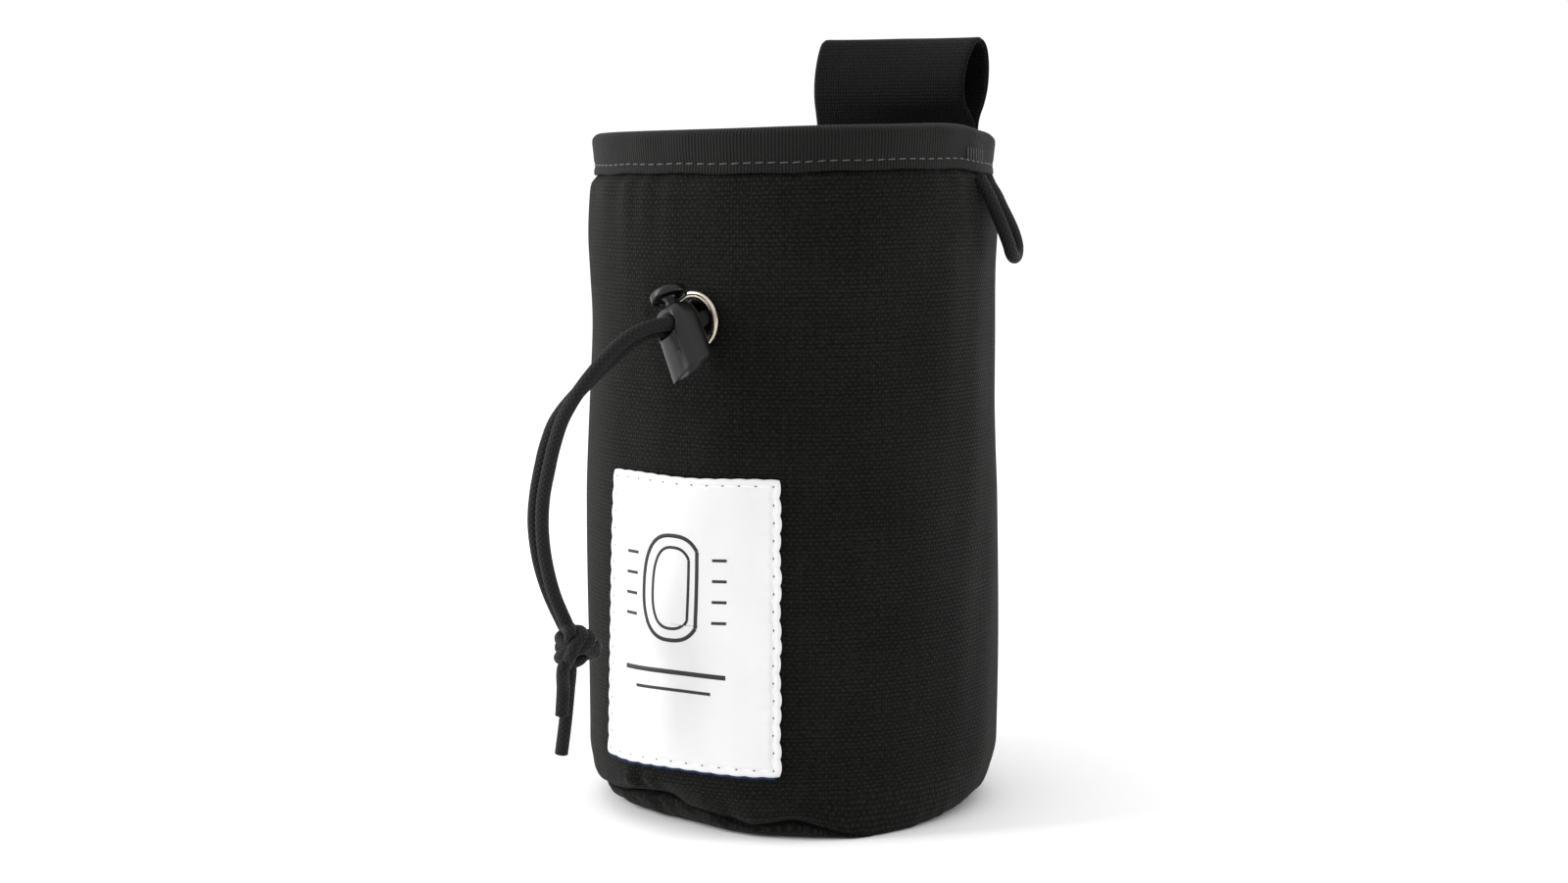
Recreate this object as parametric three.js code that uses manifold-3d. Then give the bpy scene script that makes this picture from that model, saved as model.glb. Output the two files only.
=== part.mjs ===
// A climbing chalk bag that stands on its base: a soft round cloth tube with a bound rim, a belt loop of
// webbing at the back, a side loop of cord, a patch label and a drawcord with a cord lock at the front.
// Millimetres and degrees. +Z is up, the front is -Y, the origin is on the floor at the middle of the base.
// An angle is measured round +Z from +X, so the front is at -90 and the back is at 90.
import * as THREE from 'three';
import { mergeVertices } from 'three/addons/utils/BufferGeometryUtils.js';
import Module from 'manifold-3d';

const wasm = await Module();
wasm.setup();

// Body
const HEIGHT = 178;
const RADIUS = 55;
const WALL = 3;
const GAP = 0.3;
const COLUMNS = 60;
const SEAM_UP = 4.2;
const BASE_PLY = 2.5;
const HEEL_TALL = 16;

// Casing, the hidden tunnel that the drawcord runs in
const CASING_PLY = 1.2;
const CASING_TALL = 16;
const CASING_PLAY = 0.9;

// Rim binding
const BINDING_TALL = 12;
const BINDING_PLY = 1.2;
const FOLD_SHOULDER = 0.72;
const FOLD_DROP = 0.35;
const FOLD_TALL = 2.2;

// Belt loop
const WEB_WIDE = 50.8;
const WEB_PLY = 1.6;
const WEB_RISE = 25;
const WEB_DEEP = 10;
const WEB_TAIL = 13;
const WEB_STATIONS = 44;

// Label
const LABEL_WIDE = 57.5;
const LABEL_TALL = 75;
const LABEL_UP = 16.5;
const LABEL_ANGLE = -91.6;
const LABEL_PLY = 1;
const LABEL_ROWS = 8;
const LABEL_COLUMNS = 12;

// Cords
const CORD = 3.4;
const CORD_SIDES = 8;
const KNOT = 11.6;

// Grommet
const GROMMET_ANGLE = -84.7;
const GROMMET_UP = 131;
const GROMMET_BORE = 9.4;
const GROMMET_RIM = 2.9;
const GROMMET_PLY = 0.6;
const GROMMET_PROUD = 1.3;
const GROMMET_EDGE = 0.3;
const GROMMET_ROLL = 0.25;

// Cord lock
const LOCK_OUT = 8;
const LOCK_LEFT = 0.5;
const LOCK_BELOW = 0.9;
const LOCK_TURN = 26;
const LOCK_LEAN = 30.6;
const BARREL_LONG = 20.6;
const BARREL_DEEP = 9.4;
const BARREL_WIDE = 11.2;
const BARREL_WALL = 0.9;
const BARREL_POWER = 2.8;
const BORE_LONG = 13;
const BORE_POWER = 3.2;
const HOLE_DOWN = 5;
const PRESS = 2.2;
const RUNNING = 0.35;
const HEAD = 9.8;
const HEAD_TALL = 2.2;
const HEAD_LOW = 0.2;
const NECK = 3.2;
const NECK_LONG = 3.1;
const BLOCK_ROOF = 0.7;
const BLOCK_FOOT = 2;
const HEEL_CUT = 19.8;
const HEEL_TIP = 11.3;
const HEEL_RISE = 3;

// Outline of the body: height as a share of HEIGHT, radius as a share of RADIUS
const OUTLINE = [
  { up: 0, out: 0.985 }, { up: 0.03, out: 0.992 }, { up: 0.06, out: 0.998 }, { up: 0.12, out: 1 },
  { up: 0.24, out: 1.002 }, { up: 0.46, out: 1.003 }, { up: 0.54, out: 0.994 }, { up: 0.61, out: 0.985 },
  { up: 0.72, out: 0.978 }, { up: 0.8, out: 0.98 }, { up: 0.86, out: 0.983 }, { up: 0.905, out: 0.975 },
  { up: 0.921, out: 0.96 }, { up: 0.931, out: 0.928 }, { up: 0.992, out: 0.94 },
];

// Waves of the rim: rise as a share of HEIGHT
const RIM_WAVES = [
  { at: -148, rise: -0.0034 }, { at: -110, rise: 0 }, { at: -78, rise: 0.004 }, { at: -54, rise: 0.008 },
  { at: -30, rise: 0.01 }, { at: -5, rise: 0.011 }, { at: 14, rise: 0.001 }, { at: 32, rise: -0.0045 },
  { at: 60, rise: 0.001 }, { at: 90, rise: 0.0045 }, { at: 130, rise: 0.002 }, { at: 175, rise: -0.002 },
];

// Squared back, where the stiff webbing is sewn on: swell as a share of RADIUS
const BACK_SWELL = [
  { at: -20, swell: 0 }, { at: 22, swell: 0.004 }, { at: 42, swell: 0.02 }, { at: 63, swell: 0.046 },
  { at: 76, swell: 0.022 }, { at: 90, swell: 0.012 }, { at: 104, swell: 0.022 }, { at: 117, swell: 0.046 },
  { at: 138, swell: 0.02 }, { at: 158, swell: 0.004 }, { at: 200, swell: 0 },
];

// How far the wall turns in under itself at the floor: tuck as a share of RADIUS
const HEEL_TUCK = [
  { at: -143, tuck: 0.11 }, { at: -116, tuck: 0.135 }, { at: -93, tuck: 0.145 }, { at: -76, tuck: 0.08 },
  { at: -62, tuck: 0.04 }, { at: -48, tuck: 0.012 }, { at: -37, tuck: 0.02 }, { at: -26, tuck: 0.07 },
  { at: -13, tuck: 0.125 }, { at: 10, tuck: 0.15 }, { at: 40, tuck: 0.12 }, { at: 90, tuck: 0.11 },
  { at: 135, tuck: 0.13 }, { at: 180, tuck: 0.11 },
];

// Puckered seam between the wall and the base: height as a share of SEAM_UP
const SEAM_WAVES = [
  { at: -148, up: 0.8 }, { at: -122, up: 0.68 }, { at: -107, up: 1.15 }, { at: -97, up: 1.28 },
  { at: -88, up: 1.1 }, { at: -77, up: 0.7 }, { at: -65, up: 0.82 }, { at: -57, up: 1.08 },
  { at: -47, up: 0.66 }, { at: -25, up: 0.62 }, { at: 0, up: 0.75 }, { at: 40, up: 0.92 },
  { at: 66, up: 1.1 }, { at: 90, up: 0.95 }, { at: 120, up: 1.12 }, { at: 150, up: 0.9 },
  { at: 180, up: 1.05 },
];

// Dents and swells of the wall: height and tall are shares of HEIGHT, deep is a share of RADIUS
const DENTS = [
  { at: -98, up: 0.05, wide: 8, tall: 0.02, deep: 0.03 },
  { at: -76, up: 0.034, wide: 7, tall: 0.022, deep: 0.034 },
  { at: -108, up: 0.075, wide: 9, tall: 0.03, deep: -0.012 },
  { at: -58, up: 0.05, wide: 9, tall: 0.03, deep: -0.012 },
  { at: 66, up: 0.06, wide: 9, tall: 0.03, deep: 0.022 },
  { at: 128, up: 0.05, wide: 8, tall: 0.025, deep: 0.026 },
  { at: 168, up: 0.06, wide: 9, tall: 0.03, deep: 0.02 },
  { at: 20, up: 0.8, wide: 18, tall: 0.07, deep: 0.012 },
  { at: -138, up: 0.72, wide: 22, tall: 0.08, deep: 0.012 },
];

// Side view of the belt loop's middle line: out from the pinch as a share of WEB_DEEP, and up from the rim
// as a share of WEB_RISE. The straight plies below the rim are added to it.
const LOOP_LINE = [
  { out: -0.2, up: 0.14 }, { out: -0.34, up: 0.31 }, { out: -0.375, up: 0.48 }, { out: -0.32, up: 0.65 },
  { out: -0.17, up: 0.83 }, { out: 0.02, up: 0.95 }, { out: 0.18, up: 0.965 }, { out: 0.34, up: 0.9 },
  { out: 0.43, up: 0.78 }, { out: 0.455, up: 0.61 }, { out: 0.41, up: 0.43 }, { out: 0.29, up: 0.26 },
  { out: 0.15, up: 0.12 },
];

// How far the belt loop's edges bend back round the body: bend as a share of WEB_DEEP, against height as
// a share of HEIGHT
const LOOP_CROWN = [
  { up: 0.84, bend: 0.36 }, { up: 0.93, bend: 0.3 }, { up: 1, bend: 0.14 }, { up: 1.06, bend: 0.03 },
  { up: 1.15, bend: 0 },
];

// Routes of the cords, points chosen by hand
const FRONT_STRAND = [
  [6.6, -51.2, 131.9], [6.9, -53.6, 131.9], [8.3, -57, 131.3], [6.8, -62.1, 131.2], [4.9, -67.2, 131.2],
  [3.1, -71.6, 130.6], [0.3, -77.2, 128], [-5.5, -84.1, 119.2], [-11.5, -86.5, 109.6], [-14.7, -86.4, 102.4],
  [-17, -85.9, 95.7], [-19.2, -85.1, 88.9], [-20.5, -84.1, 82.6], [-21.1, -82.8, 76], [-21, -81.3, 69.7],
  [-20.2, -79.6, 63.2], [-18.3, -77, 55.4],
];
const BACK_STRAND = [
  [3.2, -51.4, 130.2], [3.4, -53.4, 130.1], [5.3, -56.3, 129.4], [3.7, -61, 129.3], [1.8, -66, 129.3],
  [0.1, -70, 128.4], [-1.9, -74.2, 125.7], [-8.4, -81, 117.4], [-15.7, -84, 108.3], [-18.8, -84.2, 101.9],
  [-21, -83.9, 95.4], [-22.9, -83.3, 88.9], [-24.3, -82.3, 82.3], [-24.9, -80.8, 75.9], [-25, -78.8, 69.5],
  [-24, -76.6, 62.6], [-21.6, -73.9, 54.5],
];
const LONG_TAIL = [[-19.5, -73.9, 46], [-20.4, -74.1, 38.3], [-21.3, -74.2, 30.6], [-22.4, -74.6, 22]];
const SHORT_TAIL = [[-18.6, -75.8, 46], [-19.1, -78, 39.1], [-19.3, -78.4, 32.9]];
const SIDE_ROUTE = [
  [53.9, 3.6, 166.3], [54.7, 4.4, 164.2], [55.9, 5.3, 161.4], [57.3, 6.1, 157.7], [58.7, 6.5, 154.5],
  [59.7, 7.1, 151.5], [60.3, 8, 149], [60.3, 9.4, 146.8], [60, 11.6, 145.7], [59.5, 13.8, 146.3],
  [58.9, 15.2, 148.4], [58.2, 14.9, 151.4], [57.3, 13.6, 154.7], [56.2, 11.8, 158.3], [55.3, 10.1, 161.6],
  [54.3, 8.6, 164.2], [53.8, 7.6, 166.2],
];

const rad = THREE.MathUtils.degToRad;
const along = (angle, up = 0) => new THREE.Vector3(Math.cos(rad(angle)), Math.sin(rad(angle)), up);

// Reads a table at a place by a smooth curve through its rows, level past its ends
function read(rows, key, value, place) {
  let i = rows.findIndex((row) => row[key] > place) - 1;
  if (place <= rows[0][key]) return rows[0][value];
  if (i < 0) return rows.at(-1)[value];
  const [p, a, b, q] = [-1, 0, 1, 2].map((k) => rows[THREE.MathUtils.clamp(i + k, 0, rows.length - 1)]);
  const span = b[key] - a[key];
  const t = (place - a[key]) / span;
  const slopeA = ((b[value] - p[value]) / (b[key] - p[key])) * span;
  const slopeB = ((q[value] - a[value]) / (q[key] - a[key])) * span;
  const t2 = t * t;
  const t3 = t2 * t;
  return a[value] * (2 * t3 - 3 * t2 + 1) + b[value] * (3 * t2 - 2 * t3)
    + slopeA * (t3 - 2 * t2 + t) + slopeB * (t3 - t2);
}

// Reads a table of angles that goes once round
function readRound(rows, value, angle) {
  const start = rows[0].at;
  const turned = start + THREE.MathUtils.euclideanModulo(angle - start, 360);
  const loop = [{ ...rows.at(-1), at: rows.at(-1).at - 360 }, ...rows, { ...rows[0], at: start + 360 },
    { ...rows[1], at: rows[1].at + 360 }];
  return read(loop, 'at', value, turned);
}

// Radius of the body's outline before it is laid
const bodyRadius = (z) => RADIUS * read(OUTLINE, 'up', 'out', z / HEIGHT);

// Lays a point of the plain round body: squares the back, tucks the heel in, dents the wall and waves the
// seam and the rim. Every piece of cloth goes through it, so they stay together.
function laid(angle, radius, z) {
  const up = z / HEIGHT;
  const high = THREE.MathUtils.smoothstep(up, 0.5, 0.84);
  const low = Math.max(0, 1 - z / HEEL_TALL) ** 2;
  const share = 1 + readRound(BACK_SWELL, 'swell', angle) * high - readRound(HEEL_TUCK, 'tuck', angle) * low;
  let out = radius * share;
  for (const dent of DENTS) {
    const turn = (THREE.MathUtils.euclideanModulo(angle - dent.at + 180, 360) - 180) / dent.wide;
    const rise = (up - dent.up) / dent.tall;
    out -= dent.deep * radius * Math.exp(-turn * turn - rise * rise);
  }
  const seam = SEAM_UP * (readRound(SEAM_WAVES, 'up', angle) - 1);
  const blend = z < SEAM_UP ? z / SEAM_UP : Math.max(0, 1 - (z - SEAM_UP) / (2 * SEAM_UP));
  const rim = HEIGHT * readRound(RIM_WAVES, 'rise', angle) * up ** 5;
  return along(angle, 0).multiplyScalar(out).setZ(z + seam * blend + rim);
}

// Merges corners that coincide and drops triangles with no area
function weld(geometry) {
  for (const name of ['normal', 'uv']) geometry.deleteAttribute(name);
  const welded = mergeVertices(geometry, 1e-4);
  const index = [...welded.index.array];
  const kept = [];
  for (let i = 0; i < index.length; i += 3) {
    const [a, b, c] = index.slice(i, i + 3);
    if (a !== b && b !== c && c !== a) kept.push(a, b, c);
  }
  welded.setIndex(kept);
  return facedOut(welded);
}

// Turns the faces of a closed mesh outwards
function facedOut(geometry) {
  const spots = geometry.attributes.position;
  const index = [...geometry.index.array];
  const [a, b, c] = [new THREE.Vector3(), new THREE.Vector3(), new THREE.Vector3()];
  let volume = 0;
  for (let i = 0; i < index.length; i += 3) {
    a.fromBufferAttribute(spots, index[i]);
    b.fromBufferAttribute(spots, index[i + 1]);
    c.fromBufferAttribute(spots, index[i + 2]);
    volume += a.dot(b.cross(c));
  }
  if (volume < 0) {
    for (let i = 0; i < index.length; i += 3) [index[i], index[i + 1]] = [index[i + 1], index[i]];
  }
  geometry.setIndex(index);
  return geometry;
}

// Solid of a closed mesh, and the mesh of a solid, for cuts and joins
function solidOf(geometry) {
  const welded = weld(geometry.clone());
  return new wasm.Manifold(new wasm.Mesh({
    numProp: 3,
    vertProperties: Float32Array.from(welded.attributes.position.array),
    triVerts: Uint32Array.from(welded.index.array),
  }));
}
function geometryOf(solid) {
  const mesh = solid.getMesh();
  const geometry = new THREE.BufferGeometry();
  geometry.setAttribute('position', new THREE.Float32BufferAttribute(mesh.vertProperties, 3));
  geometry.setIndex([...mesh.triVerts]);
  return geometry;
}

// Ring of cloth: a closed profile of [radius, height] corners carried round the body and laid
function clothRing(profile, columns = COLUMNS) {
  const spots = profile.concat([profile[0]]).map(([radius, z]) => new THREE.Vector2(radius, z));
  return laidLathe(spots, columns);
}
function laidLathe(spots, columns) {
  const geometry = weld(new THREE.LatheGeometry(spots, columns).rotateX(Math.PI / 2));
  const place = geometry.attributes.position;
  for (let i = 0; i < place.count; i++) {
    const [x, y, z] = [place.getX(i), place.getY(i), place.getZ(i)];
    const spot = laid(THREE.MathUtils.radToDeg(Math.atan2(y, x)), Math.hypot(x, y), z);
    place.setXYZ(i, spot.x, spot.y, spot.z);
  }
  return geometry;
}

// Closed slab between two grids of points that lie over each other
function slab(front, back) {
  const [rows, cols] = [front.length, front[0].length];
  const spots = [...front.flat(), ...back.flat()];
  const at = (side, i, j) => side * rows * cols + i * cols + j;
  const index = [];
  const quad = (a, b, c, d) => index.push(a, b, c, a, c, d);
  for (let i = 0; i < rows - 1; i++) {
    for (let j = 0; j < cols - 1; j++) {
      quad(at(0, i, j), at(0, i, j + 1), at(0, i + 1, j + 1), at(0, i + 1, j));
      quad(at(1, i, j), at(1, i + 1, j), at(1, i + 1, j + 1), at(1, i, j + 1));
    }
    quad(at(0, i, 0), at(0, i + 1, 0), at(1, i + 1, 0), at(1, i, 0));
    quad(at(0, i, cols - 1), at(1, i, cols - 1), at(1, i + 1, cols - 1), at(0, i + 1, cols - 1));
  }
  for (let j = 0; j < cols - 1; j++) {
    quad(at(0, 0, j), at(1, 0, j), at(1, 0, j + 1), at(0, 0, j + 1));
    quad(at(0, rows - 1, j), at(0, rows - 1, j + 1), at(1, rows - 1, j + 1), at(1, rows - 1, j));
  }
  return facedOut(new THREE.BufferGeometry().setFromPoints(spots).setIndex(index));
}

// Closed skin over a row of rings with a middle point at each end
function loft(rings) {
  const count = rings[0].length;
  const middle = (ring) => ring.reduce((sum, p) => sum.add(p), new THREE.Vector3()).divideScalar(count);
  const spots = [...rings.flat(), middle(rings[0]), middle(rings.at(-1))];
  const [head, tail] = [spots.length - 2, spots.length - 1];
  const index = [];
  for (let j = 0; j < count; j++) {
    const k = (j + 1) % count;
    for (let i = 0; i < rings.length - 1; i++) {
      const [a, b] = [i * count, (i + 1) * count];
      index.push(a + j, a + k, b + k, a + j, b + k, b + j);
    }
    index.push(head, k, j, tail, (rings.length - 1) * count + j, (rings.length - 1) * count + k);
  }
  return facedOut(new THREE.BufferGeometry().setFromPoints(spots).setIndex(index));
}

// Cord along a route, with a step every so many diameters
function cordAlong(route, pace = 1.6) {
  const curve = new THREE.CatmullRomCurve3(route.map((p) => new THREE.Vector3(...p)), false, 'centripetal');
  const round = new THREE.Shape(Array.from({ length: CORD_SIDES }, (_, i) => {
    const turn = (2 * Math.PI * i) / CORD_SIDES;
    return new THREE.Vector2(Math.cos(turn), Math.sin(turn)).multiplyScalar(CORD / 2);
  }));
  const steps = Math.ceil(curve.getLength() / (CORD * pace));
  return weld(new THREE.ExtrudeGeometry(round, { steps, bevelEnabled: false, extrudePath: curve }));
}

// Rounded slot shape, wide across and tall along
function slotShape(wide, tall) {
  const shape = new THREE.Shape();
  const [half, corner] = [wide / 2, tall / 2];
  shape.absarc(half - corner, 0, corner, -Math.PI / 2, Math.PI / 2);
  shape.absarc(corner - half, 0, corner, Math.PI / 2, 1.5 * Math.PI);
  return shape;
}

// Squarish oval ring of the cord lock, level at a height
function ovalRing(deep, wide, z, corners = 20, power = BARREL_POWER) {
  return Array.from({ length: corners }, (_, i) => {
    const turn = (2 * Math.PI * (i + 0.5)) / corners;
    const round = (v) => Math.sign(v) * Math.abs(v) ** (2 / power);
    return new THREE.Vector3((deep / 2) * round(Math.cos(turn)), (wide / 2) * round(Math.sin(turn)), z);
  });
}

const group = new THREE.Group();
const finish = {
  body_cloth: { color: 0x232425, roughness: 0.92, metalness: 0 },
  binding_tape: { color: 0x2c2e2f, roughness: 0.85, metalness: 0 },
  webbing: { color: 0x1b1c1d, roughness: 0.8, metalness: 0 },
  cord: { color: 0x1a1b1b, roughness: 0.85, metalness: 0 },
  label_cloth: { color: 0xf1f1ef, roughness: 0.6, metalness: 0 },
  grommet_metal: { color: 0xb9b0a0, roughness: 0.25, metalness: 1 },
  lock_plastic: { color: 0x161718, roughness: 0.4, metalness: 0 },
};
function add(name, geometry, look, parent = group) {
  geometry.computeVertexNormals();
  const mesh = new THREE.Mesh(geometry, new THREE.MeshStandardMaterial(finish[look]));
  mesh.name = name;
  parent.add(mesh);
  return mesh;
}

const shellTop = HEIGHT - BINDING_PLY - GAP;
const tunnelRadius = CORD / 2 + CASING_PLAY;
const tunnelOut = bodyRadius(GROMMET_UP) - WALL - tunnelRadius + CASING_PLY;
const casingIn = tunnelOut - tunnelRadius - CASING_PLY;

// Round profile of a ring that runs inside the casing
function tunnelProfile(radius, corners) {
  return Array.from({ length: corners }, (_, i) => {
    const turn = (2 * Math.PI * i) / corners;
    return [tunnelOut + radius * Math.cos(turn), GROMMET_UP + radius * Math.sin(turn)];
  });
}

// Body wall: outside up, inside down, with the casing's swell on the inside
function shellSolid() {
  const outside = [0, 0.03, 0.055, 0.1, 0.18, 0.42, 0.54, 0.64, 0.74, 0.84, 0.9, 0.918, 0.931]
    .map((up) => Math.max(SEAM_UP, up * HEIGHT));
  outside.push((HEIGHT + shellTop) / 2 - BINDING_TALL / 2, shellTop);
  const levels = [...new Set(outside)];
  const profile = levels.map((z) => [bodyRadius(z), z]);
  const inner = (z) => [bodyRadius(z) - WALL, z];
  const bulge = [1, 0.6, -0.6, -1].map((part) => {
    const z = GROMMET_UP + (part * CASING_TALL) / 2;
    return Math.abs(part) === 1 ? inner(z) : [casingIn, z];
  });
  const insideTop = [shellTop, HEIGHT - 1.4 * BINDING_TALL, (HEIGHT + GROMMET_UP) / 2].map(inner);
  const insideLow = [0.55, 0.3, 0.1].map((up) => inner(up * HEIGHT));
  profile.push(...insideTop, ...bulge, ...insideLow, inner(SEAM_UP));
  return solidOf(clothRing(profile));
}

const grommetOut = along(GROMMET_ANGLE);
const grommetRight = new THREE.Vector3(0, 0, 1).cross(grommetOut);
const wallSpot = laid(GROMMET_ANGLE, bodyRadius(GROMMET_UP), GROMMET_UP);
const flangeRadius = GROMMET_BORE / 2 + GROMMET_RIM;
const seatDepth = flangeRadius ** 2 / (2 * RADIUS) + GAP;

// Turns a lathe or extrusion made about +Z so that +Z points out of the wall at the grommet
const toGrommet = new THREE.Matrix4().makeBasis(grommetRight, new THREE.Vector3(0, 0, 1), grommetOut)
  .setPosition(wallSpot);
function disc(radius, low, high, corners = 28) {
  const upright = new THREE.CylinderGeometry(radius, radius, high - low, corners);
  return upright.rotateX(Math.PI / 2).translate(0, 0, (low + high) / 2);
}

const holeRadius = GROMMET_BORE / 2 + GROMMET_PLY + GAP;
const shell = shellSolid()
  .subtract(solidOf(clothRing(tunnelProfile(tunnelRadius, 6))))
  .subtract(solidOf(disc(holeRadius, -WALL, WALL).applyMatrix4(toGrommet)))
  .subtract(solidOf(disc(flangeRadius + GAP, -seatDepth, WALL).applyMatrix4(toGrommet)));
add('shell', geometryOf(shell), 'body_cloth');

// Base: a flat round of cloth whose turned-up edge meets the wall at the seam
const baseTop = SEAM_UP - GAP;
const baseProfile = [
  [0, 0], [0.5 * RADIUS, 0], [0.93 * RADIUS, 0], [0.975 * RADIUS, 0.3 * baseTop],
  [bodyRadius(baseTop), baseTop], [bodyRadius(baseTop) - WALL, baseTop], [0.9 * RADIUS, BASE_PLY], [0.5 * RADIUS, BASE_PLY],
  [0, BASE_PLY],
].map(([radius, z]) => new THREE.Vector2(radius, z));
add('base_panel', laidLathe(baseProfile, COLUMNS), 'body_cloth');

// Binding: a folded tape over the wall's top edge
function bindingProfile() {
  const foot = HEIGHT - BINDING_TALL;
  const neck = HEIGHT - FOLD_TALL * BINDING_PLY;
  const outer = (z, plies) => [bodyRadius(z) + GAP + plies * BINDING_PLY, z];
  const inner = (z, plies) => [bodyRadius(z) - WALL - GAP - plies * BINDING_PLY, z];
  const middle = bodyRadius(HEIGHT) - WALL / 2;
  const shoulder = FOLD_SHOULDER * (WALL / 2 + GAP + BINDING_PLY);
  const foldTop = HEIGHT - FOLD_DROP * BINDING_PLY;
  return [
    outer(foot, 1), outer(neck, 1),
    [middle + shoulder, foldTop], [middle, HEIGHT], [middle - shoulder, foldTop],
    inner(neck, 1), inner(foot, 1), inner(foot, 0),
    inner(HEIGHT - BINDING_PLY, 0), outer(HEIGHT - BINDING_PLY, 0), outer(foot, 0),
  ];
}
add('rim_binding', clothRing(bindingProfile()), 'binding_tape');

// Belt loop: one strap that goes up the back, opens into a loop above the rim and comes down over itself
function beltLoop() {
  const foot = HEIGHT - BINDING_TALL - WEB_TAIL;
  const bulge = laid(90, bodyRadius(foot + 2), foot + 2).y;
  const tape = laid(90, bodyRadius(HEIGHT - BINDING_PLY), HEIGHT).y + GAP + BINDING_PLY;
  const seat = Math.max(bulge, tape) + GAP;
  const first = seat + WEB_PLY / 2;
  const second = first + WEB_PLY + GAP;
  const pinch = (first + second) / 2;
  const top = HEIGHT * (1 + readRound(RIM_WAVES, 'rise', 90));
  const line = [
    [first, foot], [first, (foot + top) / 2], [first, top],
    ...LOOP_LINE.map((row) => [pinch + row.out * WEB_DEEP, top + row.up * WEB_RISE]),
    [second, top], [second, (foot + top) / 2], [second, foot],
  ].map(([y, z]) => new THREE.Vector3(0, y, z));
  const curve = new THREE.CatmullRomCurve3(line, false, 'centripetal');
  const faces = [1, -1].map((side) => Array.from({ length: WEB_STATIONS + 1 }, (_, i) => {
    const spot = curve.getPointAt(i / WEB_STATIONS);
    const run = curve.getTangentAt(i / WEB_STATIONS);
    const normal = new THREE.Vector3(0, run.z, -run.y).multiplyScalar((side * WEB_PLY) / 2);
    return [-1, -0.55, 0, 0.55, 1].map((part) => {
      const bend = WEB_DEEP * read(LOOP_CROWN, 'up', 'bend', spot.z / HEIGHT) * part * part;
      return new THREE.Vector3((part * WEB_WIDE) / 2, -bend, 0).add(spot).add(normal);
    });
  }));
  return slab(...faces);
}
add('belt_loop', beltLoop(), 'webbing');

// Label: a patch sewn flat on the wall
function label() {
  const turn = THREE.MathUtils.radToDeg(LABEL_WIDE / RADIUS);
  const faces = [GAP + LABEL_PLY, GAP].map((off) => Array.from({ length: LABEL_ROWS + 1 }, (_, i) => {
    const z = LABEL_UP + (LABEL_TALL * i) / LABEL_ROWS;
    return Array.from({ length: LABEL_COLUMNS + 1 }, (__, j) => laid(
      LABEL_ANGLE + turn * (j / LABEL_COLUMNS - 0.5), bodyRadius(z) + off, z,
    ));
  }));
  return slab(...faces);
}
add('label', label(), 'label_cloth');

// Grommet: a rolled flange on the wall with a short tube through it
function grommet() {
  const bore = GROMMET_BORE / 2;
  const tube = bore + GROMMET_PLY;
  const crown = (tube + flangeRadius) / 2;
  const low = GAP - seatDepth;
  const high = low + GROMMET_PROUD;
  const profile = [
    [bore, GAP - WALL + CASING_PLY], [tube, GAP - WALL + CASING_PLY], [tube, low],
    [flangeRadius - GROMMET_EDGE, low], [flangeRadius, low + 0.25 * GROMMET_PROUD],
    [flangeRadius - GROMMET_ROLL, low + 0.65 * GROMMET_PROUD], [crown, high],
    [bore + GROMMET_ROLL, low + 0.65 * GROMMET_PROUD], [bore, low + 0.2 * GROMMET_PROUD],
  ];
  const spots = profile.concat([profile[0]]).map(([radius, z]) => new THREE.Vector2(radius, z));
  return weld(new THREE.LatheGeometry(spots, 28).rotateX(Math.PI / 2)).applyMatrix4(toGrommet);
}
add('grommet', grommet(), 'grommet_metal');

// Cord lock: +X runs out through its cross hole and +Z up its barrel to the button
const lockOut = along(GROMMET_ANGLE - LOCK_TURN);
const lockUp = new THREE.Vector3(0, 0, 1).applyAxisAngle(lockOut, rad(LOCK_LEAN));
const lock = new THREE.Group();
lock.applyMatrix4(new THREE.Matrix4().makeBasis(
  lockOut, lockUp.clone().cross(lockOut), lockUp,
));
lock.position.copy(wallSpot).addScaledVector(grommetOut, LOCK_OUT).addScaledVector(grommetRight, -LOCK_LEFT)
  .add(new THREE.Vector3(0, 0, -LOCK_BELOW));
group.add(lock);

const slotWide = 2 * CORD + 3 * GAP;
const slotTall = CORD + 4 * RUNNING;
const boreDeep = 0.7 * BARREL_DEEP - BARREL_WALL;
const boreWide = BARREL_WIDE - 2 * BARREL_WALL;

// Hole across the lock for the two strands, about its own X
const crossHole = (shape) => new THREE.ExtrudeGeometry(shape, {
  depth: 2 * BARREL_DEEP, bevelEnabled: false, curveSegments: 6,
}).translate(0, 0, -BARREL_DEEP).rotateX(Math.PI / 2).rotateZ(Math.PI / 2);

function barrel() {
  const waist = [
    { down: 0, share: 0.72 }, { down: 0.045, share: 0.86 }, { down: 0.11, share: 0.95 },
    { down: 0.2, share: 0.99 }, { down: 0.5, share: 1 }, { down: 1, share: 1 },
  ];
  const outer = solidOf(loft(waist.map((row) => ovalRing(
    BARREL_DEEP * row.share, BARREL_WIDE * Math.max(row.share, 0.88), HOLE_DOWN - row.down * BARREL_LONG,
  ))));
  const bore = solidOf(loft([HOLE_DOWN + 1, HOLE_DOWN - BORE_LONG]
    .map((z) => ovalRing(boreDeep, boreWide - RUNNING, z, 16, BORE_POWER))));
  const heel = solidOf(new THREE.BoxGeometry(4 * BARREL_DEEP, 4 * BARREL_DEEP, BARREL_LONG)
    .translate(0, 0, -BARREL_LONG / 2).rotateX(rad(HEEL_CUT)).rotateY(rad(HEEL_TIP))
    .translate(0, 0, HOLE_DOWN - BARREL_LONG + HEEL_RISE));
  return outer.subtract(bore).subtract(solidOf(crossHole(slotShape(slotWide, slotTall)))).subtract(heel);
}
add('cord_lock_barrel', geometryOf(barrel()), 'lock_plastic', lock);

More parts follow.
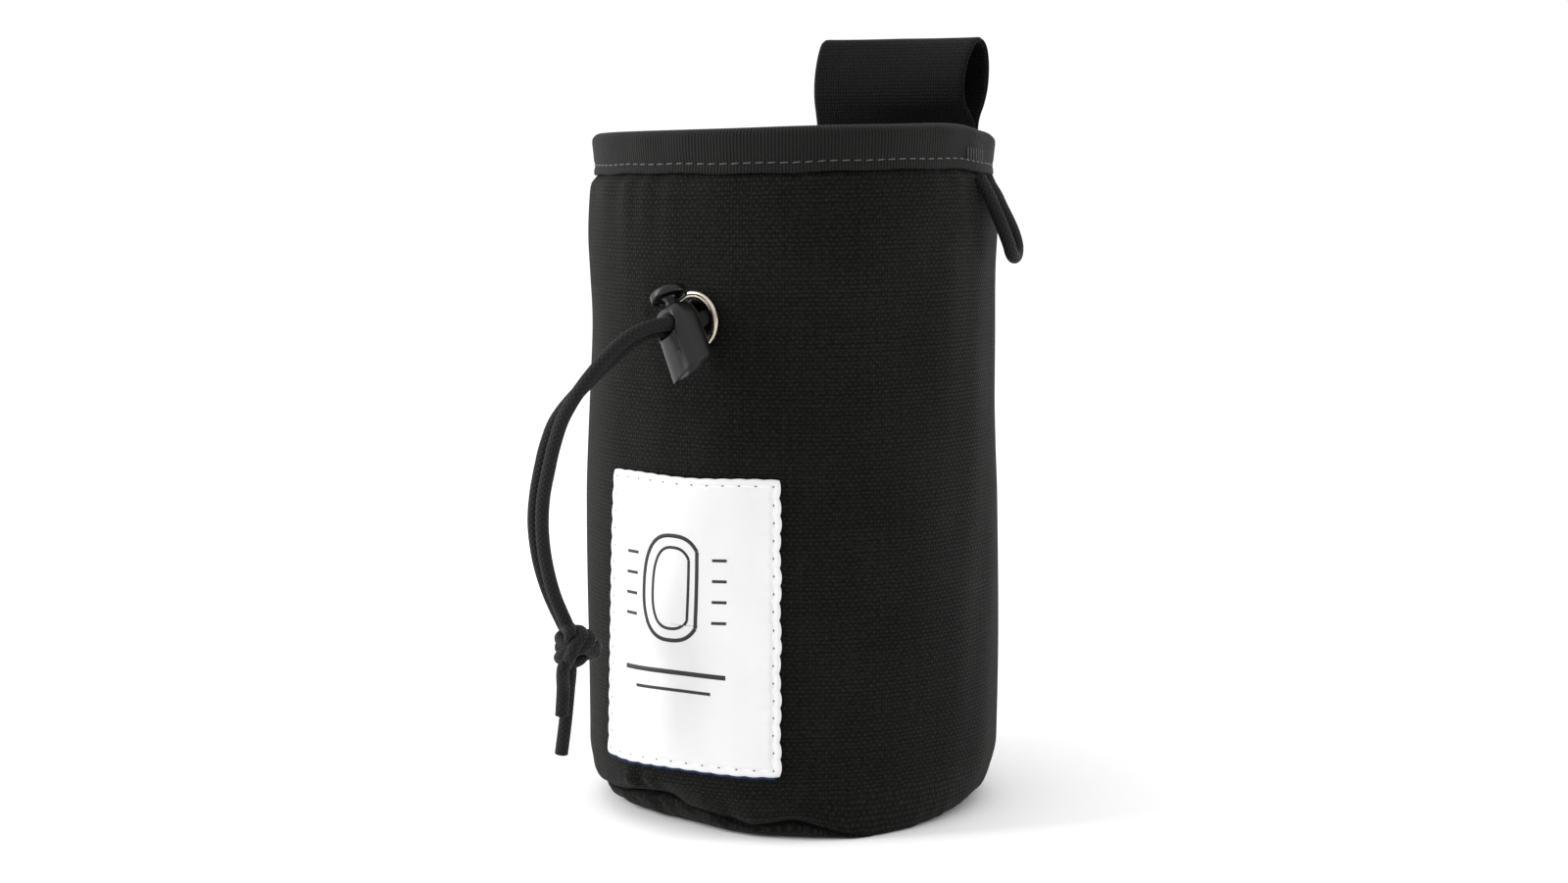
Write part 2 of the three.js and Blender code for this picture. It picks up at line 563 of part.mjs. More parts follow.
// Plunger: a button on a neck, and a block with a tall slot that lets the strands through at any press
function plunger() {
  const slotLow = -CORD / 2 - RUNNING;
  const slotHigh = CORD / 2 + RUNNING + PRESS;
  const blockTop = slotHigh + BLOCK_ROOF;
  const neckTop = HOLE_DOWN + NECK_LONG;
  const block = solidOf(loft([slotLow - BLOCK_FOOT, blockTop].map((z) => ovalRing(
    boreDeep - 2 * RUNNING, boreWide - 3 * RUNNING, z, 16, BORE_POWER,
  ))));
  const slot = new THREE.Shape([[-1, slotLow], [1, slotLow], [1, slotHigh], [-1, slotHigh]]
    .map(([side, z]) => new THREE.Vector2((side * (slotWide - GAP)) / 2, z)));
  const gate = solidOf(crossHole(slot));
  const neck = solidOf(disc(NECK / 2, blockTop - 0.5, neckTop + 0.5, 14));
  const cap = [
    [0, 0.27], [0.78, 0.27], [0.82, 0], [0.97, 0], [1, 0.36], [0.9, 0.73], [0.6, 1], [0, 1],
  ].map(([share, up]) => new THREE.Vector2((share * HEAD) / 2, neckTop + up * HEAD_TALL - HEAD_LOW));
  const head = solidOf(new THREE.LatheGeometry(cap, 24).rotateX(Math.PI / 2));
  return block.subtract(gate).add(neck).add(head);
}
add('cord_lock_plunger', geometryOf(plunger()), 'lock_plastic', lock);

// Drawcord: a ring in the casing, two strands through the grommet and the lock, and a knot on their ends
add('drawcord_ring', clothRing(tunnelProfile(CORD / 2, CORD_SIDES), 36), 'cord');
add('drawcord_front', cordAlong(FRONT_STRAND), 'cord');
add('drawcord_back', cordAlong(BACK_STRAND), 'cord');

function knot() {
  const routes = [FRONT_STRAND, BACK_STRAND].map((route) => route.map((p) => new THREE.Vector3(...p)));
  const middle = routes[0].at(-1).clone().add(routes[1].at(-1)).multiplyScalar(0.5);
  const run = routes.map((route) => route.at(-1).clone().sub(route.at(-2)).normalize());
  middle.addScaledVector(run[0].add(run[1]).normalize(), KNOT / 2 + GAP);
  const ball = new THREE.SphereGeometry(KNOT / 2, 16, 10);
  const place = ball.attributes.position;
  const spot = new THREE.Vector3();
  for (let i = 0; i < place.count; i++) {
    spot.fromBufferAttribute(place, i);
    const rise = (2 * spot.y) / KNOT;
    const swirl = Math.sin(2 * Math.atan2(spot.z, spot.x) + 1.6 * rise) * (1 - rise * rise);
    spot.multiplyScalar(1 - 0.03 * (1 - swirl));
    place.setXYZ(i, spot.x, spot.z, spot.y);
  }
  const tails = [LONG_TAIL, SHORT_TAIL].map((route) => solidOf(cordAlong(route)));
  return solidOf(ball.translate(...middle)).add(tails[0]).add(tails[1]);
}
add('cord_knot', geometryOf(knot()), 'cord');

// Side loop: a short doubled cord under the edge of the binding
add('side_loop', cordAlong(SIDE_ROUTE, 0.9), 'cord');

export default group;
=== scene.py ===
import bmesh
import bpy
import numpy as np
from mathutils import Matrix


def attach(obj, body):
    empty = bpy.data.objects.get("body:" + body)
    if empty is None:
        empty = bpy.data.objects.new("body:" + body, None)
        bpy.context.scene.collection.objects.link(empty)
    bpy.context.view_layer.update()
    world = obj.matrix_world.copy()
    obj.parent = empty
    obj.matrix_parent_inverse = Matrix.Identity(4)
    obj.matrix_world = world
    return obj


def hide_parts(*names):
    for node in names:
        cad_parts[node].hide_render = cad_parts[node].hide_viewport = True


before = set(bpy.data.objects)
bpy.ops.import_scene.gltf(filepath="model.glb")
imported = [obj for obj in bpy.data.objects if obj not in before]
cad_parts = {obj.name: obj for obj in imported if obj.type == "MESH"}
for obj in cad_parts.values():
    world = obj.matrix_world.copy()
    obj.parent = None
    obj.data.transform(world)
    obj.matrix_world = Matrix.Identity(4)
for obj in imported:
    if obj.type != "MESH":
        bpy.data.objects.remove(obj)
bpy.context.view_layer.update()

MM = 0.001

# Body, base and the casing of the drawcord. The three sizes of the base that end in OUT are shares of its
# radius, and the squared back begins and is full at shares of HEIGHT
HEIGHT, RADIUS, WALL, GAP = 0.178, 0.055, 0.003, 0.0003
SEAM_UP, HEEL_TALL, BASE_PLY = 0.0042, 0.016, 0.0025
FLAT_OUT, ROLL_OUT, INNER_OUT = 0.9, 0.083, 0.97
CASING_TALL, CASING_IN = 0.016, 0.0456
WALL_TOP = 0.1765
SWELL_FROM, SWELL_TO = 0.5, 0.84
WALL_COLUMNS, TAPE_COLUMNS = 397, 721

# Relief of the cloth: lip and crease over the seam, pleats, slack and gathers
LIP, LIP_UP, LIP_TALL = 0.0007, 0.0030, 0.0022
CREASE, CREASE_TALL = 0.0014, 0.0010
WALL_PLEAT, BASE_PLEAT, PLEAT_TALL = 0.00016, 0.00022, 0.0045
BASE_BULGE, BASE_CREASE, SOLE_RISE = 0.0006, 0.0008, 0.0004
SLACK, SLACK_FADE = 0.00016, 0.02
GATHER, GATHER_TALL = 0.00016, 0.009
LEFT_FOLD, LEFT_FOLD_DOWN, LEFT_FOLD_TALL, LEFT_FOLD_ANGLE, LEFT_FOLD_WIDE = 0.0001, 0.004, 0.022, -118, 34

# Rim binding, its stitches and the zigzag at the side cord. STITCH_LONG is a share of STITCH, TACK_LEAN a
# slope, and TACK_FROM and TACK_TO are angles
BINDING_TALL, BINDING_PLY, CREST = 0.0108, 0.0012, 0.0029
STITCH, STITCH_LONG, STITCH_THICK, STITCH_GROOVE = 0.0032, 0.66, 0.00038, 0.00025
STITCH_UP = HEIGHT - BINDING_TALL + 0.0024
TACK_DOWN, TACK_LONG, TACK_THICK, TACK_LEAN = 0.0069, 0.0036, 0.0004, 0.4
TACK_FROM, TACK_TO, TACK_STITCHES = -0.8, 8.8, 7

# Belt loop and the box stitched on its tail
WEB_WIDE, WEB_PLY, WEB_RISE, WEB_DEEP, WEB_TAIL = 0.0508, 0.0016, 0.025, 0.010, 0.013
BOX_LOW, BOX_HIGH, BOX_HALF = 0.1555, 0.1745, 0.0225
BOX_STITCH, BOX_STITCH_LONG, BOX_STITCH_THICK, BOX_STITCH_LIFT = 0.0029, 0.0023, 0.0005, -0.00072

# Cords
CORD, CORD_SIDES, YARNS, YARN_PITCH = 0.0034, 28, 8, 1.5
STRAND_STEP, LOOP_STEP, WEB_STEP = 0.0006, 0.0005, 0.0007

# Grommet, and the cloth that the cord pulls out with it. EYE_TILT is a slope
GROMMET_ANGLE, GROMMET_UP, GROMMET_BORE, GROMMET_RIM, GROMMET_ROLL = -84.7, 0.131, 0.0094, 0.0029, 0.0009
EYE_TILT, EYE_LEFT, EYE_PRESS, EYE_WELL = 0.17, 0.0008, 0.0005, 0.0045

# Cord lock. HOLE_DEEP and HOLE_LIP are shares of its depth, and END_CUT and END_TIP slopes
LOCK_TURN, LOCK_LEAN, LOCK_OFF, LOCK_LEFT, LOCK_BELOW = 26, 30.6, 0.008, 0.0005, 0.0009
BARREL_DEEP, BARREL_WIDE, BARREL_POWER, HOLE_DOWN = 0.0094, 0.0112, 3.1, 0.005
HOLE_HALF, HOLE_CORNER, HOLE_DEEP, HOLE_LIP = 0.0041, 0.0023, 0.62, 0.02
GROOVE_DOWN, GROOVE_HALF, GROOVE_SIDE, GROOVE_WIDE, GROOVE_DEEP = 0.0050, 0.0019, 0.0029, 0.00045, 0.0006
HEAD, HEAD_TALL, NECK, NECK_LONG, NECK_FOOT = 0.0094, 0.0022, 0.0030, 0.0031, 0.0042
END_LOW, END_CUT, END_TIP = -0.0116, 0.08, 0.45

# Label, its stitches and its print. The right edge is an angle
LABEL_WIDE, LABEL_TALL, LABEL_LOW, LABEL_RIGHT = 0.0525, 0.0748, 0.0171, -61.6
LABEL_PLY, LABEL_OFF, LABEL_EDGE = 0.0005, 0.0006, 0.0004
LABEL_STITCH, LABEL_SEAM, LABEL_GROOVE = 0.0044, 0.0017, 0.0003
THREAD_LONG, THREAD_THICK, THREAD_LIFT = 0.0034, 0.0004, 0.00045
NEEDLE_LONG, NEEDLE_LIFT = 0.0006, 0.00047
INK_LOW, INK_HIGH = 0.00044, 0.00055

# Print on the label, in millimetres from its left foot: rules with their ends and width, short bars beside a
# link of two outlines, and where the link's gate starts and ends, in degrees
RULES = [((8, 24.8), (39, 24.8), 1.2), ((12, 20.2), (35, 20.2), 0.8)]
BARS_UP, BARS_ACROSS, BAR_WIDE = (38.5, 43.8, 49.1, 54.4), ((8, 12), (35, 39)), 0.75
LINKS = [(18, 27, 1.0), (12, 21, 0.75)]
LINK_MIDDLE, LINK_POWER, GATE_FROM, GATE_TO = (23.5, 46.5), 2.6, 42, 318

# Photograph's view: degrees round from the front and down, then metres away, to the left and up, and the lens
VIEW_TURN, VIEW_DOWN, VIEW_AWAY, VIEW_LEFT, VIEW_UP, VIEW_LENS = 32, 6.78, 0.709, 0.00235, 0.1795, 61.1

# Soft boxes, seen from the photograph: name, right, near, up, height aimed at, wide, tall, watts
SOFT_BOXES = [
    ("left_box", -1.0, 0.2, 0.4, 0.09, 0.35, 1.0, 12),
    ("right_box", 0.9, 0.15, 0.08, 0.03, 0.4, 0.3, 3),
]
SUN_POWER, SUN_ANGLE, SUN_LEAN = 1.1, 1.8, 0.25

# bands of rows of the wall: from, to, how many
OUTSIDE_ROWS = [(SEAM_UP, 0.024, 38), (0.0252, 0.166, 118), (0.1672, WALL_TOP, 7)]
INSIDE_ROWS = [(WALL_TOP, 0.14, 16), (0.139, 0.122, 18), (0.119, SEAM_UP, 30)]

# height and radius, shares of HEIGHT and RADIUS
OUTLINE = np.array([
    (0, 0.985), (0.03, 0.992), (0.06, 0.998), (0.12, 1), (0.24, 1.002), (0.46, 1.003), (0.54, 0.994),
    (0.61, 0.985), (0.72, 0.978), (0.8, 0.98), (0.86, 0.983), (0.912, 0.975), (0.929, 0.962), (0.939, 0.93),
    (0.992, 0.94),
])
# angle, and rise of the rim as a share of HEIGHT
RIM_WAVES = np.array([
    (-148, -0.0034), (-110, 0), (-78, 0.004), (-54, 0.008), (-30, 0.01), (-5, 0.011), (14, 0.001),
    (32, -0.0045), (60, 0.001), (90, 0.0045), (130, 0.002), (175, -0.002),
])
# angle, and swell of the squared back as a share of RADIUS
BACK_SWELL = np.array([
    (-20, 0), (22, 0.004), (42, 0.02), (63, 0.046), (76, 0.022), (90, 0.012), (104, 0.022), (117, 0.046),
    (138, 0.02), (158, 0.004), (200, 0),
])
# angle, and how far the wall turns in at the floor as a share of RADIUS
HEEL_TUCK = np.array([
    (-143, 0.11), (-116, 0.135), (-93, 0.145), (-76, 0.08), (-62, 0.04), (-48, 0.012), (-37, 0.02),
    (-26, 0.07), (-13, 0.125), (10, 0.15), (40, 0.12), (90, 0.11), (135, 0.13), (180, 0.11),
])
# angle, and height of the puckered seam as a share of SEAM_UP
SEAM_WAVES = np.array([
    (-148, 1.0), (-123, 1.25), (-112, 1.65), (-100, 1.9), (-95, 1.85), (-90, 1.5), (-84, 1.35), (-76.5, 0.9),
    (-69, 0.7), (-58, 1.18), (-50, 0.7), (-44, 0.22), (-34, 0.12), (-18, 0.14), (2, 0.4), (40, 0.85),
    (66, 1.1), (90, 0.95), (120, 1.12), (150, 0.9), (180, 1.05),
])
# angle, and strength of the crease along that seam
SEAM_CREASE = np.array([
    (-150, 0.9), (-124, 1.5), (-112, 2.1), (-100, 1.9), (-94, 0.6), (-86, 0.2), (-80, 0.7), (-75, 1.6),
    (-58, 1.5), (-46, 1.1), (-38, 0.4), (-5, 0.4), (40, 0.9), (180, 1),
])
# dents: angle, height as a share of HEIGHT, wide in degrees, tall as a share of HEIGHT, deep as one of RADIUS
DENTS = np.array([
    (-98, 0.05, 8, 0.02, 0.03), (-76.5, 0.036, 5, 0.022, 0.05), (-108, 0.075, 9, 0.03, -0.012),
    (-107, 0.055, 2, 0.028, -0.018), (-103.5, 0.055, 1.6, 0.028, 0.016), (-100, 0.05, 2, 0.025, -0.018),
    (-58, 0.05, 9, 0.03, -0.012), (66, 0.06, 9, 0.03, 0.022), (128, 0.05, 8, 0.025, 0.026),
    (168, 0.06, 9, 0.03, 0.02), (20, 0.8, 18, 0.07, 0.012), (-138, 0.72, 22, 0.08, 0.012),
])

# Cord routes in millimetres, the same points as the part's solids
FRONT_STRAND = [
    (6.6, -51.2, 131.9), (6.9, -53.6, 131.9), (8.3, -57, 131.3), (6.8, -62.1, 131.2), (4.9, -67.2, 131.2),
    (3.1, -71.6, 130.6), (0.3, -77.2, 128), (-5.5, -84.1, 119.2), (-11.5, -86.5, 109.6),
    (-14.7, -86.4, 102.4), (-17, -85.9, 95.7), (-19.2, -85.1, 88.9), (-20.5, -84.1, 82.6),
    (-21.1, -82.8, 76), (-21, -81.3, 69.7), (-20.2, -79.6, 63.2), (-18.3, -77, 55.4),
]
BACK_STRAND = [
    (3.2, -51.4, 130.2), (3.4, -53.4, 130.1), (5.3, -56.3, 129.4), (3.7, -61, 129.3), (1.8, -66, 129.3),
    (0.1, -70, 128.4), (-1.9, -74.2, 125.7), (-8.4, -81, 117.4), (-15.7, -84, 108.3), (-18.8, -84.2, 101.9),
    (-21, -83.9, 95.4), (-22.9, -83.3, 88.9), (-24.3, -82.3, 82.3), (-24.9, -80.8, 75.9), (-25, -78.8, 69.5),
    (-24, -76.6, 62.6), (-21.6, -73.9, 54.5),
]
LONG_TAIL = [(-20.4, -74.1, 38.3), (-21.3, -74.2, 30.6), (-22.4, -74.6, 22)]
SHORT_TAIL = [(-19.1, -78, 39.1), (-19.3, -78.4, 32.9)]
SIDE_ROUTE = [
    (53.9, 3.6, 166.3), (54.7, 4.4, 164.2), (55.9, 5.3, 161.4), (57.3, 6.1, 157.7), (58.7, 6.5, 154.5),
    (59.7, 7.1, 151.5), (60.3, 8, 149), (60.3, 9.4, 146.8), (60, 11.6, 145.7), (59.5, 13.8, 146.3),
    (58.9, 15.2, 148.4), (58.2, 14.9, 151.4), (57.3, 13.6, 154.7), (56.2, 11.8, 158.3), (55.3, 10.1, 161.6),
    (54.3, 8.6, 164.2), (53.8, 7.6, 166.2),
]
# Two cords through a tight overhand knot, before KNOT_SIZE, in millimetres from its middle: across, away, up
KNOT_ONE = [
    (-1.9, -3.7, 4.6), (-1.7, -3.1, 2.9), (-0.7, -2.7, 1.5), (0.5, -2.4, 0.3), (1.6, -1.4, -0.7),
    (2.6, -0.2, -1.6), (3.4, 1.1, -2.5), (2.8, 2.6, -3.0), (1.2, 3.2, -2.8), (0, 2.7, -1.8),
    (-0.5, 1.8, -0.3), (-0.3, 1, 1.2), (0.9, 0.6, 2.5), (1.8, -0.7, 3.1), (1.8, -2.3, 2.6), (1.2, -3.7, 1.7),
    (0, -4.4, 0.7), (-1.5, -3.9, 0), (-2.7, -3, -0.9), (-3.1, -1.6, -2), (-2.9, -0.1, -2.9),
    (-1.5, 0.8, -2.9), (-0.1, 0.6, -1.9), (0.9, 0.5, -0.5), (1.6, 1.5, 0.8), (1.6, 2.7, 2.1), (0.7, 4, 2.8),
    (-0.9, 4.3, 2.7),
    (-2.1, 3.2, 2.1), (-2.3, 1.6, 1.5), (-2, -0.1, 0.9), (-1.7, -1.5, 0), (-1.9, -2.6, -1.4),
    (-2.6, -3.4, -3.1), (-3.2, -3.9, -4.8),
]
KNOT_TWO = [
    (-1.4, -1.9, 5.3), (-1.3, -1.4, 3.7), (-0.1, -1.1, 2.4), (1.2, -0.9, 1.3), (2.7, -0.2, 0.7),
    (3.4, 1.1, -0.2), (3.8, 2.6, -1.1), (2.9, 3.9, -1.6), (1.3, 4.4, -1.2), (0.3, 3.7, 0), (-0.2, 2.9, 1.5),
    (-0.5, 2.2, 3),
    (-0.3, 0.8, 4.1), (0.4, -0.7, 4.4), (0.4, -2.4, 4), (0, -3.9, 3.3), (-0.9, -5, 2.3), (-1.8, -5.7, 0.9),
    (-2.2, -5.6, -0.8), (-2.3, -4.5, -2.1), (-2.4, -3.1, -3.1), (-2.2, -1.6, -4.1), (-1.1, -0.4, -4.4),
    (0.4, 0.3, -3.9), (1.4, 1.2, -2.8), (1.8, 2.1, -1.4), (2.1, 3.1, 0), (1.7, 4.4, 0.9), (0.2, 5.2, 1.1),
    (-1.3, 4.6, 0.7), (-2, 3.1, 0), (-2.4, 1.6, -0.6), (-2, 0.4, -1.4), (-1.6, 0, -3), (-1.3, -0.4, -4.6),
]
# middle in millimetres, turn in degrees, growth across, away and up, share that the cords are squeezed by
KNOT_MIDDLE, KNOT_TURN, KNOT_SIZE, KNOT_SQUEEZE = (-17.6, -74.1, 49.9), 20, (1.5, 1.15, 0.9), 0.06

# Side view of the belt loop: out from the pinch as a share of WEB_DEEP, up from the rim as one of WEB_RISE
LOOP_LINE = [
    (-0.2, 0.14), (-0.34, 0.31), (-0.375, 0.48), (-0.32, 0.65), (-0.17, 0.83), (0.02, 0.95), (0.18, 0.965),
    (0.34, 0.9), (0.43, 0.78), (0.455, 0.61), (0.41, 0.43), (0.29, 0.26), (0.15, 0.12),
]
# height as a share of HEIGHT, and how far the strap's edges bend back there as a share of WEB_DEEP
LOOP_CROWN = np.array([(0.84, 0.36), (0.93, 0.3), (1, 0.14), (1.06, 0.03), (1.15, 0)])
# height on the label from 0 to 1, and the angle of its left edge there
LABEL_LEFT = np.array([(0, -117.4), (1, -113.2)])


# Numbers

def curve_through(rows, place):
    """Smooth curve through rows of (place, value): cubic pieces whose slope at a row is that of the line
    between its two neighbours, level past both ends."""
    x, y = rows[:, 0], rows[:, 1]
    ends = np.r_[0, np.arange(len(x)), len(x) - 1]
    slope = (y[ends[2:]] - y[ends[:-2]]) / (x[ends[2:]] - x[ends[:-2]])
    place = np.clip(place, x[0], x[-1])
    i = np.clip(np.searchsorted(x, place, side="right") - 1, 0, len(x) - 2)
    span = x[i + 1] - x[i]
    t = (place - x[i]) / span
    return (y[i] * (2 * t**3 - 3 * t**2 + 1) + y[i + 1] * (3 * t**2 - 2 * t**3)
            + slope[i] * span * (t**3 - 2 * t**2 + t) + slope[i + 1] * span * (t**3 - t**2))


def round_table(rows, angle):
    """The same curve for a table of angles that goes once round."""
    turn = np.array([360, 0])
    loop = np.vstack([rows[-1] - turn, rows, rows[:2] + turn])
    start = rows[0, 0]
    return curve_through(loop, start + np.mod(angle - start, 360))


def smooth(low, high, x):
    """0 below low, 1 above high, 3t^2 - 2t^3 between them."""
    t = np.clip((x - low) / (high - low), 0, 1)
    return t * t * (3 - 2 * t)


def bell(x, middle, wide):
    """exp(-((x - middle) / wide)^2)."""
    return np.exp(-((x - middle) / wide) ** 2)


def away(angle, middle):
    """Signed degrees from middle to angle, -180 to 180."""
    return np.mod(angle - middle + 180, 360) - 180


def outline(z):
    """Plain radius of the body at a height: RADIUS times the curve through OUTLINE."""
    return RADIUS * curve_through(OUTLINE, z / HEIGHT)


def outward(angle):
    """Level direction away from the body's middle: (cos, sin, 0) of the angle."""
    turn = np.radians(angle)
    return np.stack([np.cos(turn), np.sin(turn), 0 * turn], -1)


def laid(angle, radius, z):
    """Point of the body at an angle, radius and height. The radius is multiplied by 1 + the back's swell,
    - the heel's tuck (1 - z / HEEL_TALL)^2, - a bell for each dent. The height rises with the waves of the
    seam, which fade out over two of its heights, and with those of the rim times (z / HEIGHT)^5."""
    angle, radius, z = np.broadcast_arrays(np.asarray(angle, float), radius, z)
    up = z / HEIGHT
    high = smooth(SWELL_FROM, SWELL_TO, up)
    low = np.clip(1 - z / HEEL_TALL, 0, None) ** 2
    out = radius * (1 + round_table(BACK_SWELL, angle) * high - round_table(HEEL_TUCK, angle) * low)
    for at, height, wide, tall, deep in DENTS:
        out = out - deep * radius * np.exp(-(away(angle, at) / wide) ** 2 - ((up - height) / tall) ** 2)
    seam = SEAM_UP * (round_table(SEAM_WAVES, angle) - 1)
    share = np.where(z < SEAM_UP, z / SEAM_UP, np.clip(1 - (z - SEAM_UP) / (2 * SEAM_UP), 0, None))
    rim = HEIGHT * round_table(RIM_WAVES, angle) * up**5
    turn = np.radians(angle)
    return np.stack([out * np.cos(turn), out * np.sin(turn), z + seam * share + rim], -1)


def unit(v):
    """Directions of length 1: v / |v|."""
    return v / np.linalg.norm(v, axis=-1, keepdims=True)


def rope_line(points, step):
    """Even points a step apart on the centripetal Catmull-Rom curve through the given ones: between two of
    them a cubic whose end slopes come from the neighbours, spaced by the square root of their distance."""
    p = np.asarray(points, float)
    p = np.vstack([2 * p[0] - p[1], p, 2 * p[-1] - p[-2]])
    gap = np.sqrt(np.linalg.norm(np.diff(p, axis=0), axis=1))[:, None]
    d0, d1, d2 = gap[:-2], gap[1:-1], gap[2:]
    a, b, c, d = p[:-3], p[1:-2], p[2:-1], p[3:]
    m1 = ((b - a) / d0 - (c - a) / (d0 + d1) + (c - b) / d1) * d1
    m2 = ((c - b) / d1 - (d - b) / (d1 + d2) + (d - c) / d2) * d1
    t = np.linspace(0, 1, 40, endpoint=False)[:, None, None]
    dense = (b * (2 * t**3 - 3 * t**2 + 1) + c * (3 * t**2 - 2 * t**3)
             + m1 * (t**3 - 2 * t**2 + t) + m2 * (t**3 - t**2))
    dense = np.vstack([dense.transpose(1, 0, 2).reshape(-1, 3), p[-2]])
    return evenly(dense, step)


def run_along(line):
    """Distance along a line to each of its points: the sum of the steps before it."""
    return np.r_[0, np.cumsum(np.linalg.norm(np.diff(line, axis=0), axis=1))]


def evenly(points, step):
    """The same line in equal steps: its points interpolated at even distances along it."""
    run = run_along(points)
    places = np.linspace(0, run[-1], max(2, int(round(run[-1] / step)) + 1))
    return np.stack([np.interp(places, run, points[:, k]) for k in range(points.shape[1])], -1)


# Meshes

def piece(name, patches, look, nodes=(), body="bag"):
    """One mesh from grids of points, (rows, columns, 3) or many of them, (n, rows, columns, 3), each with
    (u, v) in millimetres for every point or None. Cells become quads, coinciding points are merged."""
    points, faces, spots, start = [], [], [], 0
    for grid, uv in patches:
        grid = grid.reshape((-1,) + grid.shape[-3:])
        ids = start + np.arange(grid[..., 0].size).reshape(grid.shape[:3])
        quads = np.stack([ids[:, :-1, :-1], ids[:, :-1, 1:], ids[:, 1:, 1:], ids[:, 1:, :-1]], -1)
        points.append(grid.reshape(-1, 3))
        faces.append(quads.reshape(-1, 4))
        spots.append(np.zeros((grid[..., 0].size, 2)) if uv is None
                     else np.broadcast_to(uv, grid.shape[:3] + (2,)).reshape(-1, 2))
        start += grid[..., 0].size
    faces = np.concatenate(faces)
    mesh = bpy.data.meshes.new(name)
    mesh.from_pydata(np.concatenate(points), [], faces)
    layer = mesh.uv_layers.new(name="UVMap")
    layer.uv.foreach_set("vector", np.concatenate(spots)[faces.ravel()].astype(np.float32).ravel())
    work = bmesh.new()
    work.from_mesh(mesh)
    bmesh.ops.remove_doubles(work, verts=work.verts, dist=1e-7)
    bmesh.ops.recalc_face_normals(work, faces=work.faces)
    work.to_mesh(mesh)
    work.free()
    mesh.shade_smooth()
    made = bpy.data.objects.new(name, mesh)
    bpy.context.scene.collection.objects.link(made)
    mesh.materials.append(look)
    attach(made, body)
    if nodes:
        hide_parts(*nodes)
    return made


def poled(grid, uv):
    """Adds the middle of the first and the last row as a pole at each end."""
    ends = [np.broadcast_to(grid[k, :-1].mean(0), grid[k].shape) for k in (0, -1)]
    return np.concatenate([ends[:1], grid, ends[1:]]), np.concatenate([uv[:1], uv, uv[-1:]])


def skin(face, back, uv=None):
    """Closed thin piece: its face, its back and a strip between them along each of the four edges."""
    strips = [(np.stack([face[k], back[k]]), None) for k in (0, -1)]
    strips += [(np.stack([face[:, k], back[:, k]]), None) for k in (0, -1)]
    return [(face, uv), (back, uv), *strips]


def frames(line):
    """Two unit directions across a line at each point. The first is the one before it less its share along
    the line, so it is carried without twist, and the second is square to it."""
    run = unit(np.gradient(line, axis=0))
    side = np.zeros_like(run)
    v = np.array([0.3, 0.2, 1])
    for i, t in enumerate(run):
        v = v - t * (v @ t)
        v = v / np.linalg.norm(v)
        side[i] = v
    return side, np.cross(run, side)


def tube(line, radius):
    """Round cord: at arc length s the ring is line(s) + r(s) (side cos a + across sin a). u counts yarns
    round it and v yarns along it. Both ends are closed with a short rounded cap."""
    run = run_along(line)
    radius = np.broadcast_to(radius, run.shape)
    side, across = frames(line)
    turn = np.linspace(0, 2 * np.pi, CORD_SIDES + 1)
    ring = side[:, None] * np.cos(turn)[:, None] + across[:, None] * np.sin(turn)[:, None]
    grid = line[:, None] + ring * radius[:, None, None]
    uv = np.stack(np.broadcast_arrays(turn / (2 * np.pi) * YARNS, run[:, None] / (YARN_PITCH * MM)), -1)
    caps = []
    for k, way in ((0, -1), (-1, 1)):
        ahead = unit(line[1] - line[0]) if k == 0 else unit(line[-1] - line[-2])
        caps.append([line[k] + ring[k] * radius[k] * f + ahead * way * radius[k] * g
                     for f, g in ((0.93, 0.08), (0.75, 0.15))])
    grid = np.concatenate([[caps[0][1], caps[0][0]], grid, caps[1]])
    uv = np.concatenate([uv[:1], uv[:1], uv, uv[-1:], uv[-1:]])
    return poled(grid, uv)


def stitches(spots, along, out, long, thick):
    """Many short threads: each a spindle of that length and thickness, half sunk, lying along its
    direction: p = spot + along (L/2) sin a + ring (T/2) cos^0.6 a."""
    a = np.linspace(-np.pi / 2, np.pi / 2, 7)
    turn = np.linspace(0, 2 * np.pi, 7)
    across = unit(np.cross(along, out))
    fat = np.maximum(np.cos(a), 0) ** 0.6 * thick / 2
    ring = (out[:, None, None] * np.cos(turn)[:, None] + across[:, None, None] * np.sin(turn)[:, None])
    return (spots[:, None, None] + along[:, None, None] * (np.sin(a) * long / 2)[:, None, None]
            + ring * fat[:, None, None]), None


# Finishes

class Field:
    """A number worked out at each point of a surface. Sums, products and functions of fields are maths
    nodes."""

    def __init__(self, tree, socket):
        self.tree, self.socket = tree, socket

    def op(self, kind, *others):
        """This field and the others, fields or numbers, through one maths node."""
        made = self.tree.nodes.new("ShaderNodeMath")
        made.operation = kind
        for slot, value in zip(made.inputs, (self, *others)):
            if isinstance(value, Field):
                self.tree.links.new(value.socket, slot)
            else:
                slot.default_value = value
        return Field(self.tree, made.outputs[0])

    def __add__(self, b):
        return self.op("ADD", b)

    def __sub__(self, b):
        return self.op("SUBTRACT", b)

    def __mul__(self, b):
        return self.op("MULTIPLY", b)

    def sin(self):
        return self.op("SINE")

    def size(self):
        return self.op("ABSOLUTE")

    def kept(self):
        """The same between 0 and 1, cut off past them."""
        return self.op("MAXIMUM", 0.0).op("MINIMUM", 1.0)

    def mapped(self, low, high, to_low, to_high):
        """low to high becomes to_low to to_high in a straight line, cut off past them."""
        made = self.tree.nodes.new("ShaderNodeMapRange")
        self.tree.links.new(self.socket, made.inputs[0])
        for slot, value in zip(made.inputs[1:5], (low, high, to_low, to_high)):
            slot.default_value = value
        return Field(self.tree, made.outputs[0])


